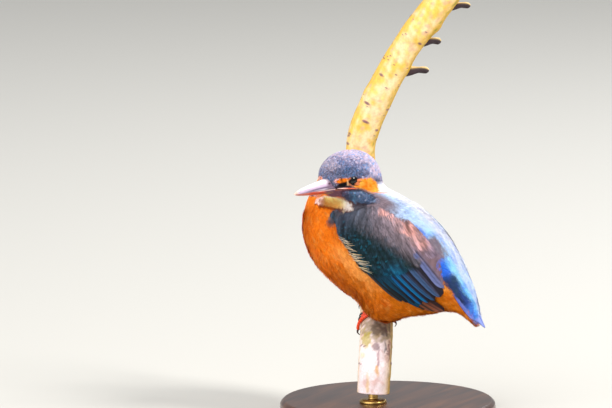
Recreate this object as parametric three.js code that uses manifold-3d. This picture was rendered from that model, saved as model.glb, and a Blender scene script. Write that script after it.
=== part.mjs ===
// A common kingfisher at life size, perched on a cut length of branch above a round stand.
// Millimetres, +Z up. The origin is the middle of the stand's underside. The body heads
// towards -Y, its left side is +X, and the head is turned to its left.
import * as THREE from 'three';
import { LoftGeometry } from 'three/addons/geometries/LoftGeometry.js';
import { mergeVertices } from 'three/addons/utils/BufferGeometryUtils.js';
import Module from 'manifold-3d';

const wasm = await Module();
wasm.setup();

// ---- driving dimensions ----------------------------------------------------------------
const GAP = 0.3; // clearance between neighbouring solids
const PERCH_HEIGHT = 50; // height of the bird's own origin, between its feet, above the floor

// Trunk and neck: balls strung along the body, squashed sideways.
// Each station is [y, z, radius, width as a share of depth].
const TRUNK = [
  [-23, 57, 19.5, 0.88],
  [-19.8, 45, 26.4, 0.865],
  [-2.6, 34.8, 29.7, 0.79],
  [11.8, 28.6, 25.9, 0.78],
  [29.2, 21.5, 15.4, 0.85],
  [40.2, 14.9, 8.6, 0.9],
  [47.5, 6.5, 3.7, 1.2],
  [50.7, 1, 1.2, 1.6],
];
// Head: balls along the line of the bill. Each is [forward, up, radius].
const HEAD = [
  [-3.5, 0, 14.2],
  [2, 0.8, 13.4],
  [8, 1, 11.2],
  [14, -0.5, 7.6],
  [20, -0.8, 4.1],
];
// Feathered thighs, one ball each side: [distance from the mid plane, y, z, radius]
const THIGH = [8, 2, 10.6, 11];
const THIGH_BLEND = 7;
const HEAD_CENTRE = new THREE.Vector3(5, -20, 71.5);
const HEAD_TURN = 87.5; // degrees, from straight ahead to its left
const HEAD_WIDTH = 1.06; // width as a share of height
const HEAD_BLEND = 6; // softness of the join of head and neck
const BALLS_PER_STATION = 8;

// Rings of the body surface: each station is [x, y, z, direction of the underside in degrees].
const SPINE = [
  [4, -22, 85.4, 188],
  [4, -20.5, 77, 190],
  [3, -20, 69, 196],
  [0, -22, 57, 212],
  [0, -18.5, 43.6, 228],
  [0, -3.2, 34.2, 240],
  [0, 10.6, 25.6, 243],
  [0, 28.6, 19.2, 243],
  [0, 40.3, 13.8, 234],
  [0, 46.9, 6.4, 218],
  [0, 51, 0.5, 212],
];
const BODY_RINGS = 36;
const BODY_SIDES = 30;
const BODY_REACH = 60; // no ring is wider than this from its centre

// Thin cuts that part head, neck and trunk: [height at y = 0, rise in degrees towards the back]
const HEAD_CUT = [66, 14];
const NECK_CUT = [62.5, 20];

// Bill, in the head's own directions, from the middle of the head.
const BILL_ROOT = 13.5; // forward distance where the horn starts, inside the head
const BILL_TIP = 56.3;
const BILL_LOW_TIP = 55; // the lower half is a little shorter
const BILL_LINE = [-3, -1.1]; // height of the closed edge at the root and at the tip
const BILL_WIDTH = 4.6; // half width at the root
const BILL_RIDGE = 6; // height of the upper half at the root
const BILL_KEEL = 3.1; // depth of the lower half at the root
const BILL_NARROWING = 0.85; // 1 is a straight taper seen from above, less is fuller
const BILL_SLIMMING = 0.55; // the same, seen from the side
const BILL_POINT = 0.03; // thickness left at the tip, as a share of the root's
const BILL_LINE_RISE = 0.7; // less than 1 lifts the closed edge sooner
const BILL_ROUNDING = 0.8; // 1 is a round cross section, less is fuller
const BILL_RINGS = 10;
const BILL_ARCH = 8;

// Eye ball: its middle, the way it looks (degrees forward of sideways) and the opening's radius.
const EYE = { forward: 10.9, side: 7.6, up: 0.9, radius: 3.1, turn: 33, opening: 2.8 };
const EYE_SIDES = 12;

// Wing: a curved leaf along the flank. Stations along the chord from bend to tip are
// [along, lower edge, upper edge, least distance from the mid plane].
const WING_BEND = [-20.6, 51.6];
const WING_SLOPE = -36.7; // degrees, of the chord, towards the tail
const WING = [
  [0, 0, 5, 17],
  [6, -2, 14.5, 18.5],
  [15, -4.5, 21.3, 20.5],
  [28, -7.6, 23.6, 22],
  [42, -9.4, 22.8, 19.5],
  [54, -9, 19, 15.5],
  [63, -7.6, 11.5, 12.5],
  [69, -5.6, 4.5, 11],
  [73.5, -3, -0.6, 10],
];
const WING_CLEAR = 0.8; // gap to the flank
const WING_THICK = 3; // at the wrist and coverts
const WING_EDGE = 0.8;
const WING_FULLNESS = 0.6; // less than 1 keeps the leaf thick nearer to its edges
const WING_SHOULDER = 4; // softness of the bend from the flank over the back
const WING_RINGS = 16;
const WING_STEPS = 6;

// Tail: a closed fan, from its root inside the rump to its tip.
const TAIL_ROOT = [38, 26];
const TAIL_TIP = [54.6, -1.2];
const TAIL_HALF_WIDTHS = [6, 8, 8.4, 7.2, 5.2, 2.4];
const TAIL_THICK = 2;
const TAIL_EDGE = 0.9;
const TAIL_ARCH = 1.6;
const TAIL_STEPS = 6;

// Branch: its middle line from the sawn foot to the sawn top, and its radius at each end.
const BRANCH = [
  [12.4, -2.2, -37],
  [11.3, -2, -25],
  [7.6, -3.2, -15],
  [0, -6.5, -8.5],
  [-9, -11, -3],
  [-18.7, -16.2, 4.5],
  [-27.1, -21.7, 15],
  [-32.6, -26.6, 32],
  [-32.4, -30, 55],
  [-30.4, -31, 80],
  [-31.4, -28.6, 93],
  [-33.2, -23.2, 106],
  [-36, -14.9, 123.5],
  [-38.7, -6.6, 137.6],
  [-41.8, 1.9, 149.7],
  [-46.5, 15.8, 168.6],
];
const BRANCH_RADIUS = [8.3, 7.1];
const KNOT_SWELL = 0.25;
const KNOT_PITCH = 61;
const BRANCH_SIDES = 12;
const BRANCH_RINGS = 37;
// Broken side twigs: [place along the branch, length beyond the bark, radius]
const SPURS = [
  [0.75, 14, 1.9],
  [0.825, 11, 1.9],
  [0.92, 12.5, 1.7],
];
const SPUR_HEADING = [-0.45, 0.89, 0.2]; // they all grew towards the bird's right and back
const SPUR_SAG = 0.8;
const SPUR_TAPER = [1.25, 0.85]; // radius at the root and at the broken end, as shares
const SPUR_KNOTS = 0.12; // unevenness of the radius, as a share

// Feet: each grips the branch with three toes over the front and one behind.
const FEET = { left: 0.163, right: 0.206 }; // places along the branch
const TOE_RADIUS = 1.05;
const TOE_TAPER = 0.22; // share of the radius lost towards the claw
const TOE_PADS = 0.07; // swelling of the joint pads, as a share
const CLAW_RADIUS = 0.7;
const CLAW_POINT = 0.12;
const CLAW_ARCH = 0.9; // how far the middle of a claw stands off the bark
const CLAW_START = 3; // degrees between a toe's end and its claw
const SOLE_RADIUS = 1.45;
// Each toe: [name, offset along the branch, degrees round it where it starts, ends, and of
// the claw's point], all measured from the top of the branch towards the bird's front
const TOES = {
  left: [
    ['inner', -1.9, 2, 96, 124],
    ['middle', 0, 2, 52, 80],
    ['outer', 1.9, 2, 46, 72],
    ['hind', -0.4, -2, -70, -96],
  ],
  right: [
    ['inner', -1.9, 2, 34, 60],
    ['middle', 0, 2, 48, 76],
    ['outer', 1.9, 2, 42, 68],
    ['hind', -0.4, -2, -70, -96],
  ],
};
const LEG_RADIUS = 1.1;
const LEG_START = 2; // height of the leg's lower end above the bark
const LEG_BOW = 1;
const LEG_TOP = { left: [7, 4, 13], right: [-7, 4, 17] };

// Stand: a round base and one short rod with a collar, let into the branch's sawn foot.
const BASE_RADIUS = 55;
const BASE_HEIGHT = 8;
const BASE_CHAMFER = 1.5;
const BASE_SIDES = 36;
const ROD_RADIUS = 2.5;
const ROD_SIDES = 14;
const ROD_DEPTH = 9; // how far it enters the branch
const COLLAR_RADIUS = 7;
const COLLAR_HEIGHT = 2;

// ---- small tools -------------------------------------------------------------------------
const radians = THREE.MathUtils.degToRad;
const lerp = THREE.MathUtils.lerp;

// A smooth curve through rows of numbers; returns the row at t from 0 to 1.
function spline(rows) {
  const first = rows[0].map((value, i) => 2 * value - rows[1][i]);
  const last = rows.at(-1).map((value, i) => 2 * value - rows.at(-2)[i]);
  const padded = [first, ...rows, last];
  return (t) => {
    const place = Math.min(Math.max(t, 0), 1) * (rows.length - 1);
    const k = Math.min(Math.floor(place), rows.length - 2);
    const w = place - k;
    return rows[0].map((_, i) => {
      const [a, b, c, d] = [padded[k][i], padded[k + 1][i], padded[k + 2][i], padded[k + 3][i]];
      const bend = w * (c - a + w * (2 * a - 5 * b + 4 * c - d + w * (3 * b - a - 3 * c + d)));
      return b + bend / 2;
    });
  };
}

function toSolid(geometry) {
  geometry.deleteAttribute('normal');
  geometry.deleteAttribute('uv');
  const merged = mergeVertices(geometry, 1e-4);
  return new wasm.Manifold(new wasm.Mesh({
    numProp: 3,
    vertProperties: new Float32Array(merged.attributes.position.array),
    triVerts: new Uint32Array(merged.index.array),
  }));
}

function toGeometry(solid) {
  const { vertProperties, triVerts } = solid.getMesh();
  const geometry = new THREE.BufferGeometry();
  geometry.setAttribute('position', new THREE.BufferAttribute(vertProperties, 3));
  geometry.setIndex(new THREE.BufferAttribute(triVerts, 1));
  return geometry;
}

// A closed body through rings of points; rings that run the wrong way round are turned.
function loft(rings) {
  const lofted = new LoftGeometry(rings, { capStart: true, capEnd: true });
  const { position } = lofted.attributes;
  const geometry = new THREE.BufferGeometry();
  geometry.setAttribute('position', position).setIndex(lofted.index);
  const corner = [0, 1, 2].map(() => new THREE.Vector3());
  let volume = 0;
  for (let i = 0; i < geometry.index.count; i += 3) {
    corner.forEach((point, k) => point.fromBufferAttribute(position, geometry.index.getX(i + k)));
    volume += corner[0].dot(corner[1].cross(corner[2]));
  }
  return volume > 0 ? geometry : loft(rings.map((ring) => [...ring].reverse()));
}

// A round tube along a curve, with its radius a function of the distance share t.
function tube(curve, radius, rings, sides) {
  const frames = curve.computeFrenetFrames(rings, false);
  return loft(Array.from({ length: rings + 1 }, (_, i) => {
    const t = i / rings;
    const centre = curve.getPointAt(t);
    return Array.from({ length: sides }, (_, k) => {
      const angle = (k / sides) * 2 * Math.PI;
      return centre.clone()
        .addScaledVector(frames.normals[i], radius(t) * Math.cos(angle))
        .addScaledVector(frames.binormals[i], radius(t) * Math.sin(angle));
    });
  }));
}

// ---- body surface ----------------------------------------------------------------------
const headAhead = new THREE.Vector3(
  Math.sin(radians(HEAD_TURN)),
  -Math.cos(radians(HEAD_TURN)),
  0,
);
const headLeft = new THREE.Vector3(-headAhead.y, headAhead.x, 0);

// A point given in the head's own directions.
function headPoint(forward, side, up) {
  return HEAD_CENTRE.clone()
    .addScaledVector(headAhead, forward)
    .addScaledVector(headLeft, side)
    .add(new THREE.Vector3(0, 0, up));
}

function stringOfBalls(stations) {
  const curve = spline(stations);
  const count = (stations.length - 1) * BALLS_PER_STATION;
  return Array.from({ length: count + 1 }, (_, i) => curve(i / count));
}

const trunkBalls = stringOfBalls(TRUNK);
const headBalls = stringOfBalls(HEAD);

function softMinimum(a, b, softness) {
  const overlap = Math.max(softness - Math.abs(a - b), 0) / softness;
  return Math.min(a, b) - (overlap * overlap * softness) / 4;
}

// Distance from the feathered outline: negative inside, positive outside.
function bodyField(point) {
  const trunk = Math.min(...trunkBalls.map(([y, z, radius, width]) => (
    Math.hypot(point.x / width, point.y - y, point.z - z) - radius
  )));
  const fromHead = point.clone().sub(HEAD_CENTRE);
  const forward = fromHead.dot(headAhead);
  const side = fromHead.dot(headLeft) / HEAD_WIDTH;
  const head = Math.min(...headBalls.map(([f, up, radius]) => (
    Math.hypot(forward - f, side, fromHead.z - up) - radius
  )));
  const [aside, y, z, radius] = THIGH;
  const thigh = Math.hypot(Math.abs(point.x) - aside, point.y - y, point.z - z) - radius;
  return softMinimum(softMinimum(trunk, thigh, THIGH_BLEND), head, HEAD_BLEND);
}

// The distance along a ray, from inside the body, where the field reaches a level.
function reach(start, direction, level, limit) {
  let near = 0;
  let far = limit;
  for (let i = 0; i < 24; i += 1) {
    const middle = (near + far) / 2;
    const inside = bodyField(start.clone().addScaledVector(direction, middle)) < level;
    if (inside) near = middle;
    else far = middle;
  }
  return near;
}

// The whole body in rings that fan round from the crown to the under-tail.
function wholeBody() {
  const spine = spline(SPINE);
  return loft(Array.from({ length: BODY_RINGS }, (_, i) => {
    const share = (i + 0.5) / BODY_RINGS;
    const t = lerp(share, 0.5 - 0.5 * Math.cos(Math.PI * share), 0.5);
    const [x, y, z, under] = spine(t);
    const centre = new THREE.Vector3(x, y, z);
    return Array.from({ length: BODY_SIDES }, (_, k) => {
      const round = (k / BODY_SIDES) * 2 * Math.PI;
      const direction = new THREE.Vector3(
        Math.sin(round),
        Math.cos(round) * Math.cos(radians(under)),
        Math.cos(round) * Math.sin(radians(under)),
      );
      return centre.clone().addScaledVector(direction, reach(centre, direction, 0, BODY_REACH));
    });
  }));
}

// A block that fills everything above a tilted plane.
function above([height, rise], lift) {
  const size = 300;
  const block = new THREE.BoxGeometry(size, size, size);
  block.translate(0, 0, size / 2 + lift);
  block.rotateX(radians(rise));
  block.translate(0, 0, height);
  return toSolid(block);
}

// ---- bill and eyes -----------------------------------------------------------------------
// Half of the bill: rings from the root to the tip, arched on one side and flat on the other.
function billHalf(tip, height, grow) {
  const way = Math.sign(height);
  return loft(Array.from({ length: BILL_RINGS + 1 }, (_, i) => {
    const t = i / BILL_RINGS;
    const forward = lerp(BILL_ROOT, tip, t);
    const narrow = lerp(Math.pow(1 - t, BILL_NARROWING), 1, BILL_POINT);
    const slim = lerp(Math.pow(1 - t, BILL_SLIMMING), 1, BILL_POINT);
    const line = lerp(...BILL_LINE, Math.pow(t, BILL_LINE_RISE)) + way * (GAP / 2 - grow);
    return Array.from({ length: BILL_ARCH + 1 }, (_, k) => {
      const angle = Math.PI * (k / BILL_ARCH);
      const round = Math.pow(Math.max(Math.sin(angle), 0), BILL_ROUNDING);
      const side = Math.cos(angle) * (BILL_WIDTH * narrow + grow);
      return headPoint(forward, side, line + way * round * (way * height * slim + 2 * grow));
    });
  }));
}

function eyeBall(side, grow) {
  const ball = new THREE.SphereGeometry(EYE.radius + grow, EYE_SIDES, 8);
  const centre = headPoint(EYE.forward, side * EYE.side, EYE.up);
  ball.translate(centre.x, centre.y, centre.z);
  return ball;
}

// The opening of the lids, a short bore from the eye's middle outwards.
function eyeOpening(side) {
  const length = 2 * EYE.radius;
  const bore = new THREE.CylinderGeometry(EYE.opening, EYE.opening, length, EYE_SIDES);
  bore.translate(0, length / 2, 0);
  const look = headPoint(Math.sin(radians(EYE.turn)), side * Math.cos(radians(EYE.turn)), 0);
  look.sub(HEAD_CENTRE);
  bore.applyQuaternion(new THREE.Quaternion().setFromUnitVectors(new THREE.Vector3(0, 1, 0), look));
  const centre = headPoint(EYE.forward, side * EYE.side, EYE.up);
  bore.translate(centre.x, centre.y, centre.z);
  return bore;
}

// ---- wings -------------------------------------------------------------------------------
// A leaf-shaped shell that follows the flank, bending over the back at its upper edge.
function wing(side) {
  const station = spline(WING);
  const slope = radians(WING_SLOPE);
  const surface = (t, across) => {
    const [along, low, high, stand] = station(t);
    const rise = lerp(low, high, across);
    const y = WING_BEND[0] + along * Math.cos(slope) - rise * Math.sin(slope);
    const z = WING_BEND[1] + along * Math.sin(slope) + rise * Math.cos(slope);
    const middle = new THREE.Vector3(0, y, z);
    const flank = reach(middle, new THREE.Vector3(1, 0, 0), WING_CLEAR, BODY_REACH);
    const x = -softMinimum(-flank, -stand * (1 - across * across), WING_SHOULDER);
    return new THREE.Vector3(x, y, z);
  };
  const outwards = (t, across) => {
    const step = 0.02;
    const length = surface(Math.min(t + step, 1), across).sub(surface(Math.max(t - step, 0), across));
    const width = surface(t, Math.min(across + step, 1)).sub(surface(t, Math.max(across - step, 0)));
    return length.cross(width).normalize();
  };
  return loft(Array.from({ length: WING_RINGS + 1 }, (_, i) => {
    const t = i / WING_RINGS;
    const inner = [];
    const outer = [];
    for (let k = 0; k <= WING_STEPS; k += 1) {
      const across = k / WING_STEPS;
      const fullness = Math.sin(Math.PI * across) * Math.max(Math.cos((Math.PI / 2) * t), 0);
      const thick = lerp(WING_EDGE, WING_THICK, Math.pow(fullness, WING_FULLNESS));
      const point = surface(t, across);
      inner.push(point);
      outer.push(point.clone().addScaledVector(outwards(t, across), thick));
    }
    return [...outer, ...inner.reverse()].map((p) => new THREE.Vector3(side * p.x, p.y, p.z));
  }));
}

// ---- tail --------------------------------------------------------------------------------
function tail(grow) {
  const root = new THREE.Vector3(0, ...TAIL_ROOT);
  const tip = new THREE.Vector3(0, ...TAIL_TIP);
  const ahead = tip.clone().sub(root).normalize();
  const top = new THREE.Vector3(0, -ahead.z, ahead.y);
  const halfWidth = spline(TAIL_HALF_WIDTHS.map((width) => [width]));
  const rings = TAIL_STEPS + 2;
  return loft(Array.from({ length: rings + 1 }, (_, i) => {
    const t = i / rings;
    const width = halfWidth(t)[0] + grow;
    const centre = root.clone().lerp(tip, t).addScaledVector(ahead, (2 * t - 1) * grow);
    const point = (across, face) => {
      const thick = lerp(TAIL_THICK, TAIL_EDGE, across * across) / 2 + grow;
      return centre.clone()
        .add(new THREE.Vector3(across * width, 0, 0))
        .addScaledVector(top, face * thick - TAIL_ARCH * across * across);
    };
    const row = Array.from({ length: TAIL_STEPS + 1 }, (_, k) => (2 * k) / TAIL_STEPS - 1);
    return [...row.map((a) => point(a, 1)), ...row.reverse().map((a) => point(a, -1))];
  }));
}

// ---- branch ------------------------------------------------------------------------------
const branchLine = new THREE.CatmullRomCurve3(BRANCH.map((point) => new THREE.Vector3(...point)));

// The bark swells slightly at old knots.
function branchRadius(t) {
  return lerp(...BRANCH_RADIUS, t) + KNOT_SWELL * Math.sin(KNOT_PITCH * t);
}

// Directions at a place on the branch: along it, up from it, and towards the bird's front.
function branchFrame(t) {
  const along = branchLine.getTangentAt(t);
  const front = new THREE.Vector3().crossVectors(new THREE.Vector3(0, 0, 1), along).normalize();
  const up = new THREE.Vector3().crossVectors(along, front);
  return { centre: branchLine.getPointAt(t), along, front, up };
}

// A broken twig that starts inside the branch and sags a little in its middle.
function spur([place, length, thick]) {
  const { centre, along } = branchFrame(place);
  const out = new THREE.Vector3(...SPUR_HEADING).normalize();
  const start = centre.clone().addScaledVector(out, BRANCH_RADIUS[1] / 2);
  const end = centre.clone().addScaledVector(out, BRANCH_RADIUS[1] + length);
  const middle = start.clone().lerp(end, 0.6).addScaledVector(along, -SPUR_SAG);
  const line = new THREE.CatmullRomCurve3([start, middle, end]);
  const radius = (t) => thick * (lerp(...SPUR_TAPER, t) + SPUR_KNOTS * Math.sin(9 * t));
  return toSolid(tube(line, radius, 4, 7));
}

// ---- legs and feet -----------------------------------------------------------------------
// A point over the bark: offset along the branch, degrees round it from its top to the front.
function overBark(place, offset, degrees, height) {
  const { centre, along, front, up } = branchFrame(place);
  const radius = branchRadius(place) + GAP + height;
  return centre.clone()
    .addScaledVector(along, offset)
    .addScaledVector(up, radius * Math.cos(radians(degrees)))
    .addScaledVector(front, radius * Math.sin(radians(degrees)));
}

// The curve of a toe or claw: evenly spaced points from one degree to another.
function gripCurve(place, offset, from, to, height) {
  const steps = 5;
  return new THREE.CatmullRomCurve3(Array.from({ length: steps + 1 }, (_, i) => (
    overBark(place, offset, lerp(from, to, i / steps), height(i / steps))
  )));
}

function toe(place, [, offset, from, to]) {
  const line = gripCurve(place, offset, from, to, () => TOE_RADIUS);
  const pads = (t) => TOE_RADIUS * (1 - TOE_TAPER * t + TOE_PADS * Math.cos(t * 4 * Math.PI));
  return toSolid(tube(line, pads, 7, 6));
}

function claw(place, [, offset, , from, to]) {
  const start = from + Math.sign(from) * CLAW_START;
  const height = (t) => CLAW_RADIUS + CLAW_ARCH * Math.sin(Math.PI * t);
  const line = gripCurve(place, offset, start, to, height);
  return tube(line, (t) => lerp(CLAW_RADIUS, CLAW_POINT, t), 5, 5);
}

// The short bare shank, from above the sole up into the feathered thigh.
function legCurve(name) {
  const foot = overBark(FEET[name], 0, 0, LEG_START);
  const top = new THREE.Vector3(...LEG_TOP[name]);
  const knee = foot.clone().lerp(top, 0.5).add(new THREE.Vector3(0, LEG_BOW, 0));
  return new THREE.CatmullRomCurve3([foot, knee, top]);
}

// ---- materials -----------------------------------------------------------------------------
const finish = (color, roughness, metalness = 0) => (
  () => new THREE.MeshStandardMaterial({ color, roughness, metalness })
);
const crownPlumage = finish(0x3a5f78, 0.7);
const breastPlumage = finish(0xd9762a, 0.8);
const wingPlumage = finish(0x1f4c60, 0.6);
const tailPlumage = finish(0x3f6fd0, 0.55);
const billHorn = finish(0xb8a4b4, 0.4);
const lowerBillHorn = finish(0xb0553c, 0.45);
const eyeGlaze = finish(0x120c0a, 0.1);
const redSkin = finish(0xd9482a, 0.55);
const clawHorn = finish(0x2a1d1c, 0.4);
const bark = finish(0xc8b44a, 0.85);
const darkWood = finish(0x4a3426, 0.5);
const brass = finish(0xa88a4a, 0.35, 0.9);

// ---- assembly --------------------------------------------------------------------------------
const kingfisher = new THREE.Group();
const bird = new THREE.Group();
bird.position.z = PERCH_HEIGHT;
kingfisher.add(bird);

function addTo(group, name, geometry, material) {
  const mesh = new THREE.Mesh(geometry, material());
  mesh.name = name;
  group.add(mesh);
}

const branchSolid = SPURS.reduce(
  (solid, place) => solid.add(spur(place)),
  toSolid(tube(branchLine, branchRadius, BRANCH_RINGS, BRANCH_SIDES)),
);
const toeRoom = 2 * SOLE_RADIUS + 2 * GAP;
const troughRadius = () => BRANCH_RADIUS[0] + toeRoom;
const gripTrough = toSolid(tube(branchLine, troughRadius, BRANCH_RINGS, BRANCH_SIDES));

// Feet, claws and legs.
const legSockets = [];
for (const name of ['left', 'right']) {
  const place = FEET[name];
  const sole = new THREE.SphereGeometry(SOLE_RADIUS, 10, 8);
  const rest = overBark(place, 0, 0, SOLE_RADIUS);
  sole.translate(rest.x, rest.y, rest.z);
  const foot = TOES[name].reduce((solid, item) => solid.add(toe(place, item)), toSolid(sole));
  const legTube = (grow) => toSolid(tube(legCurve(name), () => LEG_RADIUS + grow, 4, 8));
  const leg = legTube(0);
  legSockets.push(legTube(GAP));
  addTo(bird, `foot_${name}`, toGeometry(foot.subtract(legTube(GAP))), redSkin);
  addTo(bird, `leg_${name}`, toGeometry(leg), redSkin);
  for (const item of TOES[name]) {
    addTo(bird, `claw_${name}_${item[0]}`, claw(place, item), clawHorn);
  }
}

// Head, neck and trunk: one body parted by thin cuts, with room for what enters it.
const whole = toSolid(wholeBody());
const eyes = [['left', 1], ['right', -1]];
const billRoom = toSolid(billHalf(BILL_TIP, BILL_RIDGE, GAP))
  .add(toSolid(billHalf(BILL_LOW_TIP, -BILL_KEEL, GAP)));
const headSolid = eyes.reduce(
  (solid, [, side]) => solid.subtract(toSolid(eyeBall(side, GAP))).subtract(toSolid(eyeOpening(side))),
  whole.intersect(above(HEAD_CUT, GAP / 2)).subtract(billRoom),
);
const neckSolid = whole.subtract(above(HEAD_CUT, -GAP / 2)).intersect(above(NECK_CUT, GAP / 2));
const trunkSolid = legSockets.reduce(
  (solid, socket) => solid.subtract(socket),
  whole.subtract(above(NECK_CUT, -GAP / 2)).subtract(gripTrough).subtract(toSolid(tail(GAP))),
);
addTo(bird, 'head', toGeometry(headSolid), crownPlumage);
addTo(bird, 'neck', toGeometry(neckSolid), breastPlumage);
addTo(bird, 'trunk', toGeometry(trunkSolid), breastPlumage);
addTo(bird, 'tail', tail(0), tailPlumage);
addTo(bird, 'bill_upper', billHalf(BILL_TIP, BILL_RIDGE, 0), billHorn);
addTo(bird, 'bill_lower', billHalf(BILL_LOW_TIP, -BILL_KEEL, 0), lowerBillHorn);
for (const [name, side] of eyes) {
  addTo(bird, `eye_${name}`, eyeBall(side, 0), eyeGlaze);
  addTo(bird, `wing_${name}`, wing(side), wingPlumage);
}

// Branch and stand.
const [footX, footY, footZ] = BRANCH[0];
const rodTop = PERCH_HEIGHT + footZ - BASE_HEIGHT + ROD_DEPTH;
const rodLine = [
  [0, 0],
  [COLLAR_RADIUS, 0],
  [COLLAR_RADIUS, COLLAR_HEIGHT / 2],
  [COLLAR_RADIUS - COLLAR_HEIGHT / 2, COLLAR_HEIGHT],
  [ROD_RADIUS, COLLAR_HEIGHT],
  [ROD_RADIUS, rodTop],
  [0, rodTop],
].map(([r, z]) => new THREE.Vector2(r, z));
const rod = new THREE.LatheGeometry(rodLine, ROD_SIDES).rotateX(Math.PI / 2);
rod.translate(footX, footY, BASE_HEIGHT);
const holeRadius = ROD_RADIUS + GAP;
const holeLength = 2 * (ROD_DEPTH + GAP);
const rodHole = new THREE.CylinderGeometry(holeRadius, holeRadius, holeLength, ROD_SIDES);
rodHole.rotateX(Math.PI / 2).translate(footX, footY, footZ);
addTo(bird, 'perch_branch', toGeometry(branchSolid.subtract(toSolid(rodHole))), bark);

const baseLine = [
  [0, 0],
  [BASE_RADIUS - BASE_CHAMFER, 0],
  [BASE_RADIUS, BASE_CHAMFER],
  [BASE_RADIUS, BASE_HEIGHT - BASE_CHAMFER],
  [BASE_RADIUS - BASE_CHAMFER, BASE_HEIGHT],
  [0, BASE_HEIGHT],
].map(([r, z]) => new THREE.Vector2(r, z));
const base = new THREE.LatheGeometry(baseLine, BASE_SIDES).rotateX(Math.PI / 2);
addTo(kingfisher, 'stand_base', base, darkWood);
addTo(kingfisher, 'stand_rod', rod, brass);

export default kingfisher;
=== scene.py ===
import bpy
import numpy as np
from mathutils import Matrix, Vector


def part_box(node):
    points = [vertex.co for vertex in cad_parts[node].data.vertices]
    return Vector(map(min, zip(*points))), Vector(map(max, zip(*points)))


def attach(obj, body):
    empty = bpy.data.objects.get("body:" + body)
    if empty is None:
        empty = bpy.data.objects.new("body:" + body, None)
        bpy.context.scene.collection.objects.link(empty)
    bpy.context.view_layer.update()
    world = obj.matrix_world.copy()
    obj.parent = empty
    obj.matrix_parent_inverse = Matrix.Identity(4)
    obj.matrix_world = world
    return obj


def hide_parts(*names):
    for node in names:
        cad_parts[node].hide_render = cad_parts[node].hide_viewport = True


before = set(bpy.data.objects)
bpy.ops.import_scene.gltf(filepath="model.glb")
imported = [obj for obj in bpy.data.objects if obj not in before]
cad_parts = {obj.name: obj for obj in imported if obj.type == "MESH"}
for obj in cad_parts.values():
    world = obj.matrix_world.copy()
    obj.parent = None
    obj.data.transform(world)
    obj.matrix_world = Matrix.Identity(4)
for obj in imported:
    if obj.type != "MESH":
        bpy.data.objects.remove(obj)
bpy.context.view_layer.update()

# ---- Stand base --------------------------------------------------------------------------
# A plain round disc turned from dark hardwood and lacquered. It lies flat on the floor and
# a short brass rod is let into its top.
MM = 0.001
BASE_RADIUS = 55.0
BASE_HEIGHT = 8.0
BASE_BEVEL = 1.8


def linear(*colour):
    """A display colour of 0 to 255 as linear light: x/12.92 when dark, else ((x+.055)/1.055)^2.4."""
    x = np.asarray(colour, float) / 255
    return np.where(x < 0.04, x / 12.92, ((x + 0.055) / 1.055) ** 2.4)


def grid_faces(rows, columns, round_columns=False, first=0):
    """Four-sided faces between neighbours of a grid numbered row by row from first. The last
    column joins the first one when the columns go round."""
    number = first + np.arange(rows * columns).reshape(rows, columns)
    ahead = np.roll(number, -1, 1)
    if not round_columns:
        number, ahead = number[:, :-1], ahead[:, :-1]
    return np.stack([number[:-1], ahead[:-1], ahead[1:], number[1:]], -1).reshape(-1, 4)


def new_piece(name, points, faces, material, maps=None, tint=None):
    """One mesh from whole arrays: points in metres, faces as arrays of corner numbers, maps as
    pairs for each point, and tint as a linear colour for each point."""
    mesh = bpy.data.meshes.new(name)
    corners = np.concatenate([part.ravel() for part in faces]).astype(np.int32)
    sizes = np.concatenate([np.full(len(part), part.shape[1]) for part in faces])
    mesh.vertices.add(len(points))
    mesh.vertices.foreach_set("co", points.astype(np.float32).ravel())
    mesh.loops.add(len(corners))
    mesh.loops.foreach_set("vertex_index", corners)
    mesh.polygons.add(len(sizes))
    starts = np.concatenate([[0], np.cumsum(sizes)[:-1]]).astype(np.int32)
    mesh.polygons.foreach_set("loop_start", starts)
    mesh.polygons.foreach_set("use_smooth", np.ones(len(sizes), bool))
    for map_name, pairs in (maps or {}).items():
        layer = mesh.uv_layers.new(name=map_name)
        layer.data.foreach_set("uv", pairs[corners].astype(np.float32).ravel())
    if tint is not None:
        rgba = np.concatenate([np.clip(tint, 0, 1), np.ones((len(tint), 1))], 1)
        layer = mesh.color_attributes.new(name="Tint", type="FLOAT_COLOR", domain="POINT")
        layer.data.foreach_set("color", rgba.astype(np.float32).ravel())
    mesh.update(calc_edges=True)
    mesh.materials.append(material)
    piece = bpy.data.objects.new(name, mesh)
    bpy.context.scene.collection.objects.link(piece)
    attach(piece, "root")
    return piece


def turned(profile, sides, centre):
    """A profile of (radius, height) pairs in mm carried round an upright axis at centre, in
    metres: x = r cos a, y = r sin a, z = height. Both ends lie on the axis and are closed by
    rings of almost no radius."""
    angle = np.arange(sides) * 2 * np.pi / sides
    r, z = np.asarray(profile, float).T
    r = np.maximum(r, 1e-3)
    x = r[:, None] * np.cos(angle)
    y = r[:, None] * np.sin(angle)
    points = np.stack([x, y, np.repeat(z[:, None], sides, 1)], -1) * MM
    faces = grid_faces(len(r), sides, True)
    ends = np.array([np.arange(sides)[::-1], np.arange(sides) + (len(r) - 1) * sides])
    return points.reshape(-1, 3) + centre, [faces, ends]


def rounded(corners, radius, steps=6):
    """A profile with each inner corner replaced by a bend: points go from one side to the other
    along the curve (1-w)^2 start + 2w(1-w) corner + w^2 end."""
    corners = np.asarray(corners, float)
    out = [corners[0]]
    for before, corner, after in zip(corners, corners[1:], corners[2:]):
        start = corner + (before - corner) * min(radius / np.linalg.norm(before - corner), 0.5)
        end = corner + (after - corner) * min(radius / np.linalg.norm(after - corner), 0.5)
        w = np.linspace(0, 1, steps)[:, None]
        out += list((1 - w) ** 2 * start + 2 * w * (1 - w) * corner + w**2 * end)
    return out + [corners[-1]]


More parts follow.
